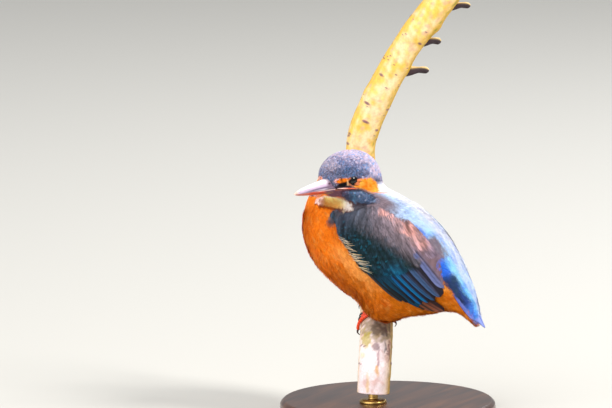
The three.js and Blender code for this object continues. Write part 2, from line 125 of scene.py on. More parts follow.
def new_material(name, roughness, **sockets):
    """A principled material with its even values set on the shader's own sockets."""
    material = bpy.data.materials.new(name)
    material.use_nodes = True
    for socket, value in {"Roughness": roughness, **sockets}.items():
        shader_of(material).inputs[socket.replace("_", " ")].default_value = value
    return material


def add_node(material, kind, **values):
    """A node with its number sockets set by name and its settings set by lower-case name."""
    node = material.node_tree.nodes.new(kind)
    for name, value in values.items():
        if name[0].islower():
            setattr(node, name, value)
        else:
            node.inputs[name].default_value = value
    return node


def wire(material, start, end):
    """A link from one socket to another of a material."""
    material.node_tree.links.new(start, end)


def shader_of(material):
    """The principled shader of a material."""
    return material.node_tree.nodes["Principled BSDF"]


def grained_material(name, roughness, scale, stops, bump=None, tint_share=None,
                     texture="ShaderNodeTexNoise", grain=None, **sockets):
    """A material whose colour and bump come from one fine texture on the object's own
    coordinates. scale is one number, or three where the grain is drawn out along an axis. The
    texture goes through a ramp of stops, if any, each a place and a display colour. That is the
    colour itself or, with a tint share, multiplies the piece's own tint by that much. bump is
    a strength and a distance in metres."""
    material = new_material(name, roughness, **sockets)
    place = add_node(material, "ShaderNodeTexCoord").outputs["Object"]
    if isinstance(scale, tuple):
        stretch = add_node(material, "ShaderNodeMapping", Scale=scale)
        wire(material, place, stretch.inputs["Vector"])
        place, scale = stretch.outputs["Vector"], 1.0
    pattern = add_node(material, texture, Scale=scale, **(grain or {}))
    wire(material, place, pattern.inputs["Vector"])
    surface = pattern.outputs[0]
    if stops:
        ramp = add_node(material, "ShaderNodeValToRGB")
        elements = ramp.color_ramp.elements
        while len(elements) < len(stops):
            elements.new(0.5)
        for element, (position, *colour) in zip(elements, stops):
            element.position = position
            element.color = (*linear(*colour), 1)
        wire(material, surface, ramp.inputs["Fac"])
        surface = ramp.outputs["Color"]
    if tint_share is not None:
        tint = add_node(material, "ShaderNodeAttribute", attribute_name="Tint")
        shade = add_node(material, "ShaderNodeMix", data_type="RGBA", blend_type="MULTIPLY")
        shade.inputs["Factor"].default_value = tint_share
        wire(material, tint.outputs["Color"], shade.inputs["A"])
        wire(material, surface, shade.inputs["B"])
        surface = shade.outputs["Result"]
    wire(material, surface, shader_of(material).inputs["Base Color"])
    if bump:
        relief = add_node(material, "ShaderNodeBump", Strength=bump[0], Distance=bump[1])
        wire(material, pattern.outputs[0], relief.inputs["Height"])
        wire(material, relief.outputs["Normal"], shader_of(material).inputs["Normal"])
    return material


hardwood = grained_material(
    "DarkHardwood", 0.34, (16.0, 170.0, 60.0),
    [(0.28, 40, 22, 14), (0.5, 72, 42, 26), (0.72, 96, 60, 36)], bump=(0.25, 0.0002),
    grain={"Detail": 6.0, "Distortion": 0.6}, Coat_Weight=0.35, Coat_Roughness=0.2)

base_corners = [(0, 0), (BASE_RADIUS - 1, 0), (BASE_RADIUS, 1.2), (BASE_RADIUS, BASE_HEIGHT - BASE_BEVEL),
                (BASE_RADIUS - BASE_BEVEL, BASE_HEIGHT), (0, BASE_HEIGHT)]
base_points, base_faces = turned(rounded(base_corners, BASE_BEVEL / 2), 160, np.zeros(3))
stand_base = new_piece("stand_base_turned", base_points, base_faces, hardwood)
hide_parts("stand_base")

# ---- Stand rod ---------------------------------------------------------------------------
# A short brushed brass rod with a small collar. It stands in the base and enters the sawn
# foot of the branch.
ROD_RADIUS = 2.5
COLLAR_RADIUS = 7.0
COLLAR_HEIGHT = 2.0

brass = grained_material(
    "BrushedBrass", 0.3, (150.0, 150.0, 5200.0), [(0.3, 158, 124, 66), (0.7, 214, 178, 108)],
    bump=(0.12, 0.00005), grain={"Detail": 3.0}, Metallic=1.0)

rod_low, rod_high = (np.array(corner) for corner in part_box("stand_rod"))
rod_foot = np.array([*(rod_low + rod_high)[:2] / 2, rod_low[2]])
rod_length = (rod_high[2] - rod_low[2]) / MM
rod_corners = [(0, 0), (COLLAR_RADIUS, 0), (COLLAR_RADIUS, COLLAR_HEIGHT * 0.6),
               (COLLAR_RADIUS - 1.2, COLLAR_HEIGHT), (ROD_RADIUS, COLLAR_HEIGHT),
               (ROD_RADIUS, rod_length), (0, rod_length)]
rod_points, rod_faces = turned(rounded(rod_corners, 0.5), 48, rod_foot)
stand_rod = new_piece("stand_rod_turned", rod_points, rod_faces, brass)
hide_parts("stand_rod")

# ---- Branch ------------------------------------------------------------------------------
# A cut length of a living branch with smooth young bark, slightly knobbly, with raised pores
# and three broken side twigs.
PERCH = np.array([0, 0, 50.0])
BRANCH = np.array([
    [12.4, -2.2, -37], [11.3, -2, -25], [7.6, -3.2, -15], [0, -6.5, -8.5], [-9, -11, -3],
    [-18.7, -16.2, 4.5], [-27.1, -21.7, 15], [-32.6, -26.6, 32], [-32.4, -30, 55],
    [-30.4, -31, 80], [-31.4, -28.6, 93], [-33.2, -23.2, 106], [-36, -14.9, 123.5],
    [-38.7, -6.6, 137.6], [-41.8, 1.9, 149.7], [-46.5, 15.8, 168.6]])
BRANCH_RADIUS = (8.3, 7.1)
BRANCH_RINGS = 520
BRANCH_SIDES = 96
# Knots: share of the length, height, and side in radians round the branch.
KNOTS = [(0.045, 0.35, 1.0), (0.3, 0.5, 3.0), (0.4, 0.5, 5.2), (0.55, 0.55, 2.1), (0.62, 0.6, 4.4),
         (0.7, 0.7, 0.6), (0.78, 0.9, 3.6), (0.86, 0.8, 1.2), (0.895, 1.5, 3.9)]
PORES = 170
# Spurs: share of the length, how far they stand out of the bark, and half thickness.
SPURS = [(0.75, 14.0, 1.9), (0.825, 11.0, 1.9), (0.92, 12.5, 1.7)]
SPUR_HEADING = np.array([-0.45, 0.89, 0.2])
SPUR_RINGS = 26
SPUR_SIDES = 20
branch_dice = np.random.default_rng(11)


def smooth_rows(rows):
    """A curve through rows of numbers: between two rows it is the cubic whose slope at each
    row is half the step from the row before to the row after."""
    rows = np.asarray(rows, float)
    padded = np.vstack([2 * rows[0] - rows[1], rows, 2 * rows[-1] - rows[-2]])

    def at(t):
        way = np.clip(t, 0, 1) * (len(rows) - 1)
        k = np.minimum(way.astype(int), len(rows) - 2)
        w = (way - k)[..., None]
        a, b, c, d = padded[k], padded[k + 1], padded[k + 2], padded[k + 3]
        return b + w * (c - a + w * (2 * a - 5 * b + 4 * c - d + w * (3 * b - a - 3 * c + d))) / 2

    return at


def even_line(rows, count):
    """Points at even distances along the smooth curve through the rows."""
    fine = smooth_rows(rows)(np.linspace(0, 1, 4000))
    run = np.concatenate([[0], np.cumsum(np.linalg.norm(np.diff(fine, axis=0), axis=1))])
    t = np.linspace(0, run[-1], count)
    return np.stack([np.interp(t, run, fine[:, k]) for k in range(3)], 1)


def unit(vectors):
    """Vectors divided by their own lengths."""
    length = np.linalg.norm(vectors, axis=-1, keepdims=True)
    return vectors / np.maximum(length, 1e-9)


def blend(low, high, value):
    """0 below low, 1 above high and 3w^2 - 2w^3 between them; low may be above high."""
    w = np.clip((value - low) / (high - low), 0, 1)
    return w * w * (3 - 2 * w)


def bell(value, width):
    """1 where the value is 0, falling off on both sides as exp(-(value / width)^2)."""
    return np.exp(-((value / width) ** 2))


def ripple(points, scale, dice, waves=7):
    """A smooth uneven number near 0, of about 0.5 at most: the mean of sine waves of random
    headings, each repeating about every scale mm."""
    heading = unit(dice.normal(size=(waves, 3)))
    pitch = 2 * np.pi / (scale * dice.uniform(0.7, 1.5, waves))
    start = dice.uniform(0, 2 * np.pi, waves)
    return np.sin(points @ heading.T * pitch + start).sum(-1) / waves


def tube(line, radius, sides, reference=(0, 0, 1)):
    """A round tube along a line of points. At each point the section lies across the line,
    radius(share along, angle) from it, with angle 0 towards the reference direction."""
    along = unit(np.gradient(line, axis=0))
    aside = unit(np.cross(np.asarray(reference, float), along))
    upward = np.cross(along, aside)
    angle = np.arange(sides) * 2 * np.pi / sides
    share = np.linspace(0, 1, len(line))[:, None]
    r = radius(share, angle[None, :])[..., None]
    around = upward[:, None] * np.cos(angle)[:, None] - aside[:, None] * np.sin(angle)[:, None]
    return line[:, None] + r * around


def capped_tube(rings, first=0):
    """Faces of a tube's grid of rings, each end closed by one face of many sides."""
    rows, sides = rings.shape[:2]
    ends = np.array([np.arange(sides)[::-1], np.arange(sides) + (rows - 1) * sides]) + first
    return [grid_faces(rows, sides, True, first), ends]


def joined(tubes):
    """Points and faces of several closed tubes of rings, as those of one mesh."""
    faces, first = [], 0
    for rings in tubes:
        faces += capped_tube(rings, first)
        first += rings.shape[0] * rings.shape[1]
    return np.concatenate([rings.reshape(-1, 3) for rings in tubes]), faces


def on_stand(points):
    """Points in mm from the middle of the perch, as rows of metres from the middle of the base."""
    return (points.reshape(-1, 3) + PERCH) * MM


branch_line = even_line(BRANCH, BRANCH_RINGS)
branch_along = unit(np.gradient(branch_line, axis=0))
branch_swell = 0.5 * ripple(branch_line, 34, branch_dice)


def branch_taper(share):
    """Radius without swelling and knots: an even change from foot to top."""
    return BRANCH_RADIUS[0] + (BRANCH_RADIUS[1] - BRANCH_RADIUS[0]) * share


def branch_radius(share, angle):
    """The taper, plus slow swelling, plus a rounded boss at each knot, which fades along the
    branch over 1.6 % of its length and round it over about a radian."""
    r = branch_taper(share) + branch_swell[:, None] + 0 * angle
    for knot, height, side in KNOTS:
        r = r + height * bell(share - knot, 0.016) * np.exp(2 * (np.cos(angle - side) - 1))
    return r


bark_rings = tube(branch_line, branch_radius, BRANCH_SIDES)
bark_fine = ripple(bark_rings.reshape(-1, 3) * [1, 1, 0.35], 1.9, branch_dice, 16)
bark_out = unit(bark_rings - branch_line[:, None]).reshape(-1, 3)
bark_points = bark_rings.reshape(-1, 3) + bark_out * bark_fine[:, None] * 0.16
# Raised pores: short low ridges that lie across the grain, scattered over the bark.
pore_row = branch_dice.integers(30, 500, PORES)
pore_side = branch_dice.integers(0, BRANCH_SIDES, PORES)
pore_width = 0.6 + 1.9 * branch_dice.uniform(0, 1, PORES) ** 3
nearness = np.zeros(len(bark_points))
for pore, heading, width in zip(bark_rings[pore_row, pore_side], branch_along[pore_row], pore_width):
    away = bark_points - pore
    lengthwise = away @ heading
    crosswise = np.linalg.norm(away - lengthwise[:, None] * heading, axis=1)
    spot = np.exp(-((lengthwise / (0.3 + 0.2 * width)) ** 2) - (crosswise / width) ** 2)
    nearness = np.maximum(nearness, spot)
bark_points = bark_points + bark_out * nearness[:, None] * 0.22


def mix(first, second, share):
    """Colours first and second mixed by a share for each point."""
    return first + (np.asarray(second) - first) * np.asarray(share)[..., None]


def layered(tint, *layers):
    """A tint with layers laid over it in turn, each a display colour and its share."""
    for *colour, share in layers:
        tint = mix(tint, linear(*colour), share)
    return tint


# Painted light and shade: the side towards the camera, where the light falls, is painted paler
# and pinker, and the side away from it yellow and greenish.
painted_light_side = blend(-0.1, 0.85, bark_out @ unit(np.array([0.93, 0.2, 0.3])))
cloud = ripple(bark_points, 13, branch_dice, 9) + 0.6 * ripple(bark_points, 4.5, branch_dice, 9)
stem = blend(0.3, 0.12, np.repeat(np.linspace(0, 1, BRANCH_RINGS), BRANCH_SIDES))
blotch = ripple(bark_points, 4, branch_dice, 12)
bark_tint = layered(
    mix(linear(206, 160, 4), linear(242, 198, 84), painted_light_side),
    (250, 224, 178, 0.9 * painted_light_side * blend(-0.4, 0.35, cloud)),
    (230, 170, 146, 0.55 * painted_light_side * blend(0.15, 0.5, blotch)),
    (150, 146, 10, 0.8 * blend(0.6, 0.2, painted_light_side) * blend(-0.1, -0.4, blotch)),
    (250, 232, 236, stem * painted_light_side * blend(-1.3, -0.4, cloud)),
    (222, 172, 160, 0.6 * stem * blend(0.25, 0.6, cloud)))
# Marks below the feet: distance across, height, half width, half height, colour. The first,
# wide and dull olive, is the painted shadow of the bird; the rest are smaller marks on the bark.
MARKS = [(-4, -4, 12, 6, 150, 128, 84), (-11, -9.5, 2.4, 3.6, 184, 166, 40),
         (-6.1, -4.5, 2.4, 3.4, 96, 80, 66), (-2, -6, 1.5, 3, 84, 70, 70),
         (1.5, -3.5, 1.2, 4, 92, 60, 36), (-6.5, -12.5, 1.8, 1.9, 136, 108, 114),
         (-4.9, -17, 0.7, 4.5, 160, 120, 130), (-1.5, -13, 0.6, 4, 120, 104, 110),
         (0.5, -15, 0.5, 5, 140, 84, 84), (-5.6, -24.5, 1.2, 2.4, 214, 156, 66),
         (-10.5, -30, 0.9, 5, 226, 190, 140)]
across_bark = bark_points @ np.array([-0.454, 0.891, 0]) + 1.6 * bark_fine
for across, high, wide, tall, *colour in MARKS:
    away = ((across_bark - across) / wide) ** 2 + ((bark_points[:, 2] - high) / tall) ** 2
    spread = blend(1.6, 0.4, away + 1.5 * ripple(bark_points, 3, branch_dice, 9))
    bark_tint = layered(bark_tint, (*colour, 0.75 * spread * blend(0.1, 0.4, painted_light_side)))
bark_tint = layered(bark_tint, (124, 76, 96, 0.9 * blend(0.25, 0.7, nearness)))
bark_tint = bark_tint * (1 + 0.25 * bark_fine[:, None])

bark = grained_material(
    "YoungBark", 0.62, 900.0, [(0.3, 196, 176, 150), (0.62, 255, 255, 255)], bump=(0.3, 0.0003),
    tint_share=0.35, grain={"Detail": 5.0, "Roughness": 0.6}, Sheen_Weight=0.05)

branch_tubes = [bark_points.reshape(bark_rings.shape)]
branch_tints = [bark_tint]
for spur_place, spur_length, spur_thick in SPURS:
    row = int(round(spur_place * (BRANCH_RINGS - 1)))
    way = np.linspace(0.35, 1, SPUR_RINGS)[:, None]
    spur_line = branch_line[row] + unit(SPUR_HEADING) * (BRANCH_RADIUS[1] + spur_length) * way
    sag = 1.6 * np.sin(np.pi * way) - 0.8 * way**4
    spur_line = spur_line + branch_along[row] * 0.5 * sag + np.array([0, 0, -1.0]) * way**5

    def spur_radius(share, angle):
        """The taper, ragged by waves along and round it, closing to a blunt broken end."""
        body = spur_thick * (1.3 - 0.55 * share + 0.12 * np.sin(9 * share + 2 * angle))
        return body * np.sqrt(np.clip((1.02 - share) / 0.12, 0.05, 1))

    rings = tube(spur_line, spur_radius, SPUR_SIDES)
    # Painted light and shade: the twigs are pale on top and dark below. Below, they also darken towards
    # the broken end.
    facing_up = blend(0.45, 0.95, unit(rings - spur_line[:, None]).reshape(-1, 3)[:, 2])
    toward_broken_end = np.repeat(blend(0.3, 0.9, np.linspace(0, 1, SPUR_RINGS)), SPUR_SIDES)
    dark = mix(linear(52, 30, 40), linear(232, 200, 130), facing_up)
    branch_tints.append(mix(dark, linear(30, 18, 16), 0.5 * toward_broken_end * (1 - facing_up)))
    branch_tubes.append(rings)

branch_points, branch_faces = joined(branch_tubes)
perch = new_piece("perch_bark", on_stand(branch_points), branch_faces, bark,
                  tint=np.concatenate(branch_tints))
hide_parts("perch_branch")

# ---- Skin of the body --------------------------------------------------------------------
# One closed skin over head, neck and trunk. It lies inside the feathered outline by the
# depth of the plumage, and dips into a socket round each eye.
TRUNK = [[-23, 57, 19.5, 0.88], [-19.8, 45, 26.4, 0.865], [-2.6, 34.8, 29.7, 0.79],
         [11.8, 28.6, 25.9, 0.78], [29.2, 21.5, 15.4, 0.85], [40.2, 14.9, 8.6, 0.9],
         [47.5, 6.5, 3.7, 1.2], [50.7, 1, 1.2, 1.6]]
HEAD = [[-3.5, 0, 14.2], [2, 0.8, 13.4], [8, 1, 11.2], [14, -0.5, 7.6], [20, -0.8, 4.1]]
HEAD_CENTRE = np.array([5, -20, 71.5])
HEAD_TURN = np.radians(87.5)
HEAD_WIDTH = 1.06
HEAD_AHEAD = np.array([np.sin(HEAD_TURN), -np.cos(HEAD_TURN), 0])
HEAD_LEFT = np.array([np.cos(HEAD_TURN), np.sin(HEAD_TURN), 0])
THIGH = (8.0, 2.0, 10.6, 11.0)
SPINE = [[4, -22, 85.16, 184], [4, -20.5, 77, 190], [3, -20, 69, 196], [0, -22, 57, 212],
         [0, -18.5, 43.6, 228], [0, -3.2, 34.2, 240], [0, 10.6, 25.6, 243],
         [0, 28.6, 19.2, 243], [0, 40.3, 13.8, 234], [0, 46.4, 7.4, 218], [0, 50.1, 2.1, 212]]
EYE = np.array([10.9, 7.6, 0.9])
EYE_RADIUS = 3.1
EYE_TURN = np.radians(33)
EYE_FLATNESS = 0.92
trunk_balls = smooth_rows(TRUNK)(np.linspace(0, 1, 57))
head_balls = smooth_rows(HEAD)(np.linspace(0, 1, 33))


def head_place(points):
    """Forward, left and up distances from the middle of the head."""
    away = points - HEAD_CENTRE
    return np.stack([away @ HEAD_AHEAD, away @ HEAD_LEFT, away[..., 2]], -1)


def from_head(forward, side, up):
    """Points at distances from the middle of the head: centre + forward * ahead + side * left +
    up * upwards."""
    return (HEAD_CENTRE + np.multiply.outer(forward, HEAD_AHEAD)
            + np.multiply.outer(side, HEAD_LEFT) + np.multiply.outer(up, [0.0, 0, 1]))


def soft_minimum(a, b, softness):
    """The smaller of two numbers, rounded off where they are nearly equal."""
    overlap = np.maximum(softness - np.abs(a - b), 0) / softness
    return np.minimum(a, b) - overlap**2 * softness / 4


def outline_distance(points):
    """How far points are outside the feathered outline: the least distance to a string of
    balls along the trunk, one along the head and one for each thigh, softly joined."""
    x, y, z = points[..., 0], points[..., 1], points[..., 2]
    trunk = np.full(x.shape, 1e9)
    for ball_y, ball_z, radius, width in trunk_balls:
        away = np.sqrt((x / width) ** 2 + (y - ball_y) ** 2 + (z - ball_z) ** 2)
        trunk = np.minimum(trunk, away - radius)
    forward, side, up = np.moveaxis(head_place(points), -1, 0)
    side = side / HEAD_WIDTH
    head = np.full(x.shape, 1e9)
    for ball_forward, ball_up, radius in head_balls:
        away = np.sqrt((forward - ball_forward) ** 2 + side**2 + (up - ball_up) ** 2)
        head = np.minimum(head, away - radius)
    aside, thigh_y, thigh_z, radius = THIGH
    thigh = np.sqrt((np.abs(x) - aside) ** 2 + (y - thigh_y) ** 2 + (z - thigh_z) ** 2) - radius
    return soft_minimum(soft_minimum(trunk, thigh, 7), head, 6)


def eye_frame(side):
    """Middle of an eye and its three directions: the way it looks, level across, and up."""
    middle = from_head(EYE[0], side * EYE[1], EYE[2])
    look = np.sin(EYE_TURN) * HEAD_AHEAD + side * np.cos(EYE_TURN) * HEAD_LEFT
    upward = np.array([0, 0, 1.0])
    return middle, look, np.cross(upward, look), upward


def eye_gap(points):
    """Distance from the line of sight of the nearer eye, or 60 behind the eye's middle."""
    gap = np.full(points.shape[:-1], 60.0)
    for side in (1, -1):
        middle, look, level, upward = eye_frame(side)
        away = points - middle
        off_line = np.hypot(away @ level, (away @ upward) / EYE_FLATNESS)
        gap = np.where(away @ look > 0, np.minimum(gap, off_line), gap)
    return gap


def socket_drop(gap):
    """How far an eye's socket drops: 2.6 mm within 1.7 mm of a line of sight, none past 2.5."""
    return 2.6 * blend(2.5, 1.7, gap)


def coat_depth(points):
    """Depth of the plumage: 0.55 mm on the head, 1.5 mm on the body and thin again on the
    tail. The skin dips a little from 4.4 mm off each line of sight, and drops in the sockets."""
    up = head_place(points)[..., 2]
    on_head = blend(-15, -7, up) * blend(30, 22, np.linalg.norm(points - HEAD_CENTRE, axis=-1))
    depth = 1.5 - 0.95 * on_head - 0.7 * blend(38, 48, points[..., 1])
    gap = eye_gap(points)
    return depth + 0.25 * blend(4.4, 2.6, gap) + socket_drop(gap)


def reach(start, direction, depth):
    """Distance along rays from inside the body to where the outline distance is less than
    -depth(points), found by halving."""
    near, far = np.zeros(len(start)), np.full(len(start), 60.0)
    for _ in range(17):
        middle = (near + far) / 2
        points = start + direction * middle[:, None]
        inside = outline_distance(points) + depth(points) < 0
        near, far = np.where(inside, middle, near), np.where(inside, far, middle)
    return near


SKIN_RINGS = 230
SKIN_SIDES = 192
ring_share = np.linspace(0.001, 0.999, SKIN_RINGS)
ring_share = 0.5 * ring_share + 0.5 * (0.5 - 0.5 * np.cos(np.pi * ring_share))
spine_x, spine_y, spine_z, under = smooth_rows(SPINE)(ring_share).T
round_angle = np.arange(SKIN_SIDES) * 2 * np.pi / SKIN_SIDES
under = np.radians(under)[:, None]
ray = np.stack([np.sin(round_angle) + 0 * under, np.cos(round_angle) * np.cos(under),
                np.cos(round_angle) * np.sin(under)], -1)
ray_start = np.broadcast_to(np.stack([spine_x, spine_y, spine_z], -1)[:, None], ray.shape)
skin_reach = reach(ray_start.reshape(-1, 3), ray.reshape(-1, 3), coat_depth).reshape(ray.shape[:2])
skin = ray_start + ray * skin_reach[..., None]


def outward(points):
    """Unit direction in which the outline distance grows, from its three differences."""
    step = 0.15
    sides = [outline_distance(points + step * axis) - outline_distance(points - step * axis)
             for axis in np.eye(3)]
    return unit(np.stack(sides, -1))


skin_out = outward(skin.reshape(-1, 3)).reshape(skin.shape)
ahead_ring = np.roll(skin, -1, 1) - skin
cell_area = np.linalg.norm(np.cross(ahead_ring[:-1], np.diff(skin, axis=0)), axis=-1)


def along_path(places, path, both_sides=True):
    """Distance from places (left and right alike, or not) to a path of rows, each a place and
    a radius, less the path's radius there: negative inside the path's tube."""
    mirrored = places * [1, 0, 1] + np.abs(places) * [0, 1, 0] if both_sides else places
    path = np.asarray(path, float)
    best = np.full(places.shape[:-1], 1e9)
    for a, b in zip(path, path[1:]):
        step = b[:3] - a[:3]
        t = np.clip((mirrored - a[:3]) @ step / (step @ step), 0, 1)
        away = np.linalg.norm(mirrored - a[:3] - t[..., None] * step, axis=-1)
        best = np.minimum(best, away - (a[3] + (b[3] - a[3]) * t))
    return best


# Paths of the face's patches: forward, side and up distances on the head, and a radius.
EAR_PATCH = [(13.8, 10.4, -1.8, 0.7), (11.4, 11.2, -0.8, 2.2), (8, 12.8, -0.9, 2.7),
             (4, 14.4, -1.6, 3.5), (1.2, 15.3, -3.2, 3.2)]
NECK_PATCH = [(-1.6, 16.8, -4.4, 2.5), (-4.6, 18.2, -5.0, 2.9), (-7.5, 19.5, -5.6, 2.6)]
MALAR = [(17, 6, -4.6, 1.4), (12.6, 8.2, -6.3, 2.6), (9.7, 11.3, -7.3, 3.4), (7.8, 14.5, -8.1, 3.1),
         (6.6, 17.8, -9.2, 1.5)]
THROAT = [(12, -11.3, -11, 2.0), (13.8, -6, -10, 2.8), (14.8, -0.8, -9.7, 3.4),
          (14, 3.2, -10.5, 3.1), (13, 6.2, -11.9, 2.4), (12.6, 8.0, -13.3, 1.4)]
THROAT_STAIN = [(13.4, -8, -11.3, 0.9), (14.5, -3.3, -11.5, 1.1), (14.6, 0.8, -11.8, 0.9)]
LORE_ORANGE = [(20.2, 3.9, 1.2, 0.9), (18.4, 5.2, 1.3, 1.2), (16.2, 7.4, 1.3, 1.3)]
LORE_BAR = [(17.8, 5.4, 3.0, 0.4), (17.6, 5.6, 0.2, 0.6)]
LORE_DARK = [(19.4, 5.6, -0.7, 0.9), (17.8, 7.0, -0.5, 1.3), (16.4, 8.1, 0.3, 0.8)]
UNDER_EYE = [(21, 4.2, -1.9, 1.1), (16.5, 7.8, -1.9, 1.2), (14.2, 9.4, -1.9, 0.8)]
EYE_CORNERS = [(14.5, 7.8, 0.8, 1.2), (9.7, 10.8, 0.7, 1.1)]
EYE_SPOT = [(16.0, 8.3, 1.6, 0.4), (15.9, 8.4, -0.7, 0.6)]
BROW = [(18.5, 4.2, 5.2, 1.8), (15.5, 7.2, 6.2, 2.9), (11.5, 10.3, 5.8, 2.6), (7, 12.6, 4.6, 1.8)]
# The dark front edge of the folded wing: back, side and up distances of the body, and a radius.
SHOULDER = [(-21, 19.5, 51, 2.6), (-18.6, 19.2, 54.5, 3.6), (-15.5, 18.6, 56.5, 4.2),
            (-12.5, 17.8, 57.8, 4.0), (-9.4, 16.8, 58.4, 3.6), (-6.5, 15.6, 59, 2.8)]
# Forward and up distances of the crown's lower edge.
CROWN_EDGE = np.array([(-14, -3.5), (-6, -0.6), (-1, 1.0), (5, 1.9), (8, 1.6), (10.5, 1.4),
                       (12.5, 2.4), (14.5, 2.7), (16, 2.5), (19, 2.3), (23, 1.4)])
# The turned head draws the far cheek back and up.
FAR_SHIFT = np.array([2.4, 0, -2.0])
AZURE = (132, 214, 255)
AZURE_SHEEN = (200, 216, 248)
AZURE_DEEP = (38, 100, 214)
RUMP_SHADE = (30, 38, 74)
CROWN_DARK = (100, 98, 132)
CROWN_BAR = (184, 188, 234)
CROWN_SHEEN = (222, 204, 228)
SLATE = (92, 92, 116)
WHITE = (250, 246, 244)
LID_DARK = (16, 13, 16)
BODY_AXIS = unit(np.array([0, 0.8, -0.6]))
# Back and up distances of the folded wing's bend, and the cosine and sine of its slope.
WING_BEND = np.array([-20.6, 51.6])
FLANK_COS = 0.802
FLANK_SIN = 0.598
TAIL_ROOT = np.array([0, 38.0, 26.0])
TAIL_TIP = np.array([0, 54.6, -1.2])
TAIL_AHEAD = unit(TAIL_TIP - TAIL_ROOT)
TAIL_UP = np.array([0, -TAIL_AHEAD[2], TAIL_AHEAD[1]])
# Distances along the tail and above it where its blue top gives way to its orange underside.
UNDER_EDGE = np.array([(-16, -2.4), (-2, -2.4), (2.5, -2.6), (5.5, -2.5), (9.5, -3.2), (15.9, -2.7),
                       (20.3, -1.4), (27, -1.6)])
MARKING_SEED = 5  # the skin and the coat share one set of uneven numbers


def crown_floor(places):
    """Height above which the crown lies: the crown's edge, lower over the ridge of the bill
    and on the far side of the head."""
    forward, side = places[..., 0], places[..., 1]
    over_ridge = blend(4.4, 3.0, np.abs(side)) * blend(18, 20.5, forward)
    return np.interp(forward, *CROWN_EDGE.T) - 3 * over_ridge - 3 * blend(-3, -6, side)


def patch_share(places, path, edge, both_sides=True):
    """1 inside the tube of a path and 0 outside it, with a soft edge."""
    return blend(edge, -edge, along_path(places, path, both_sides))


def combed(points):
    """Points drawn together along the lie of the body's feathers, so that uneven numbers
    taken there run in streaks."""
    return points - 0.8 * (points @ BODY_AXIS)[..., None] * BODY_AXIS


def flank_place(points):
    """Distances along the slope of the folded wing and up across it, from the wing's bend."""
    back, up = points[..., 1] - WING_BEND[0], points[..., 2] - WING_BEND[1]
    return back * FLANK_COS - up * FLANK_SIN, back * FLANK_SIN + up * FLANK_COS


def belly_colour(points, streak, fine):
    """Orange of breast and belly: deeper low down, streaked both ways, with a pale band along
    the wing's lower edge and a brown one along the belly."""
    x, y, z = np.moveaxis(points, -1, 0)
    along, rise = flank_place(points)
    beside_wing = bell(rise + 10.3 + 6 * fine, 4.2) * blend(5, 14, along) * blend(44, 30, along)
    low = bell(rise + 21.5 + 8 * streak, 5) * blend(6, 16, along) * blend(64, 46, along)
    return layered(
        linear(252, 130, 18),
        (212, 112, 0, blend(60, 20, z + 10 * streak) * blend(-28, -8, y)),
        (206, 84, 6, (0.7 - 0.45 * blend(36, 48, z)) * blend(0.1, 0.5, streak)),
        (255, 172, 78, blend(0.0, 0.45, fine) * 0.6),
        (255, 172, 84, 0.75 * beside_wing * blend(8, 14, np.abs(x))),
        (178, 78, 0, 0.55 * low))


def back_colour(points, above, tail_along, dice):
    """Blue of the back: nearly white down the middle and paler towards the front, a painted
    sheen; azure beside that, deep blue at both edges, slate between the shoulders, a painted
    shade of deep blue and navy on the side of the rump and over the root of the tail, and grey
    by the ends of the wings' shoulder feathers, in lanes that run back along the body."""
    x = points[..., 0]
    along, rise = flank_place(points)
    half = np.interp(along, [20, 40, 58, 65, 72, 80], [13.5, 12.5, 11.2, 10.4, 7.8, 4.2])
    lane = np.stack([x * 11 / half, 0.09 * along, 0 * x], -1)
    lanes, thin = ripple(lane, 3.2, dice, 12), ripple(lane, 1.5, dice, 14)
    # Painted sheen: paler down the middle of the back, set off towards the far side, and towards its
    # front.
    painted_sheen_share = np.maximum(blend(8.5, 4.5, np.abs(x + 1.5) * 11 / half + 5 * lanes),
                        0.85 * blend(50, 34, along + 9 * lanes))
    middle = blend(7, 3, np.abs(x + 2.5) + 6 * thin) * blend(70, 48, along)
    beside = blend(-4.2, -1.0, np.abs(x + 2) - half - 2 + 5 * thin) * blend(24, 34, along)
    mantle = blend(8, 2.5, np.abs(rise - 25.5 + 0.12 * np.abs(x)) + blend(11, 6, np.abs(x)) * 5)
    mantle = mantle * blend(30, 16, along) * blend(-0.3, 0.3, thin)
    # Painted shade on the side of the rump and the root of the tail: deep blue along the rump's lower
    # edge and navy over the tail's root.
    rump_edge_shade = blend(4.2, 2.6, above + 2 * thin) * blend(-14, -9, tail_along) * blend(3, -1, tail_along)
    navy = blend(5.4, 3.2, above + 2 * thin) * blend(-2.5, 1.5, tail_along) * blend(20, 14, tail_along)
    wing_top = np.interp(along, [42, 54, 63, 69], [22.8, 19, 11.5, 4.5])
    lobe = blend(2.6, 1.4, rise - wing_top + 2 * thin) * blend(40, 44, along) * blend(56, 53, along)
    return layered(
        linear(*AZURE),
        (*AZURE_SHEEN, painted_sheen_share),
        (238, 236, 250, 0.85 * middle),
        (110, 150, 232, 0.7 * blend(0.1, 0.42, thin) * blend(30, 50, along)),
        (150, 140, 214, 0.7 * blend(0.0, 0.4, lanes) * blend(66, 76, along)),
        (*AZURE_DEEP, 0.8 * beside),
        (112, 114, 140, 0.8 * mantle),
        (*AZURE_DEEP, 0.9 * rump_edge_shade),
        (*RUMP_SHADE, 0.92 * navy),
        (70, 112, 214, 0.4 * navy * blend(0.0, 0.4, thin)),
        (132, 108, 116, 0.95 * lobe))


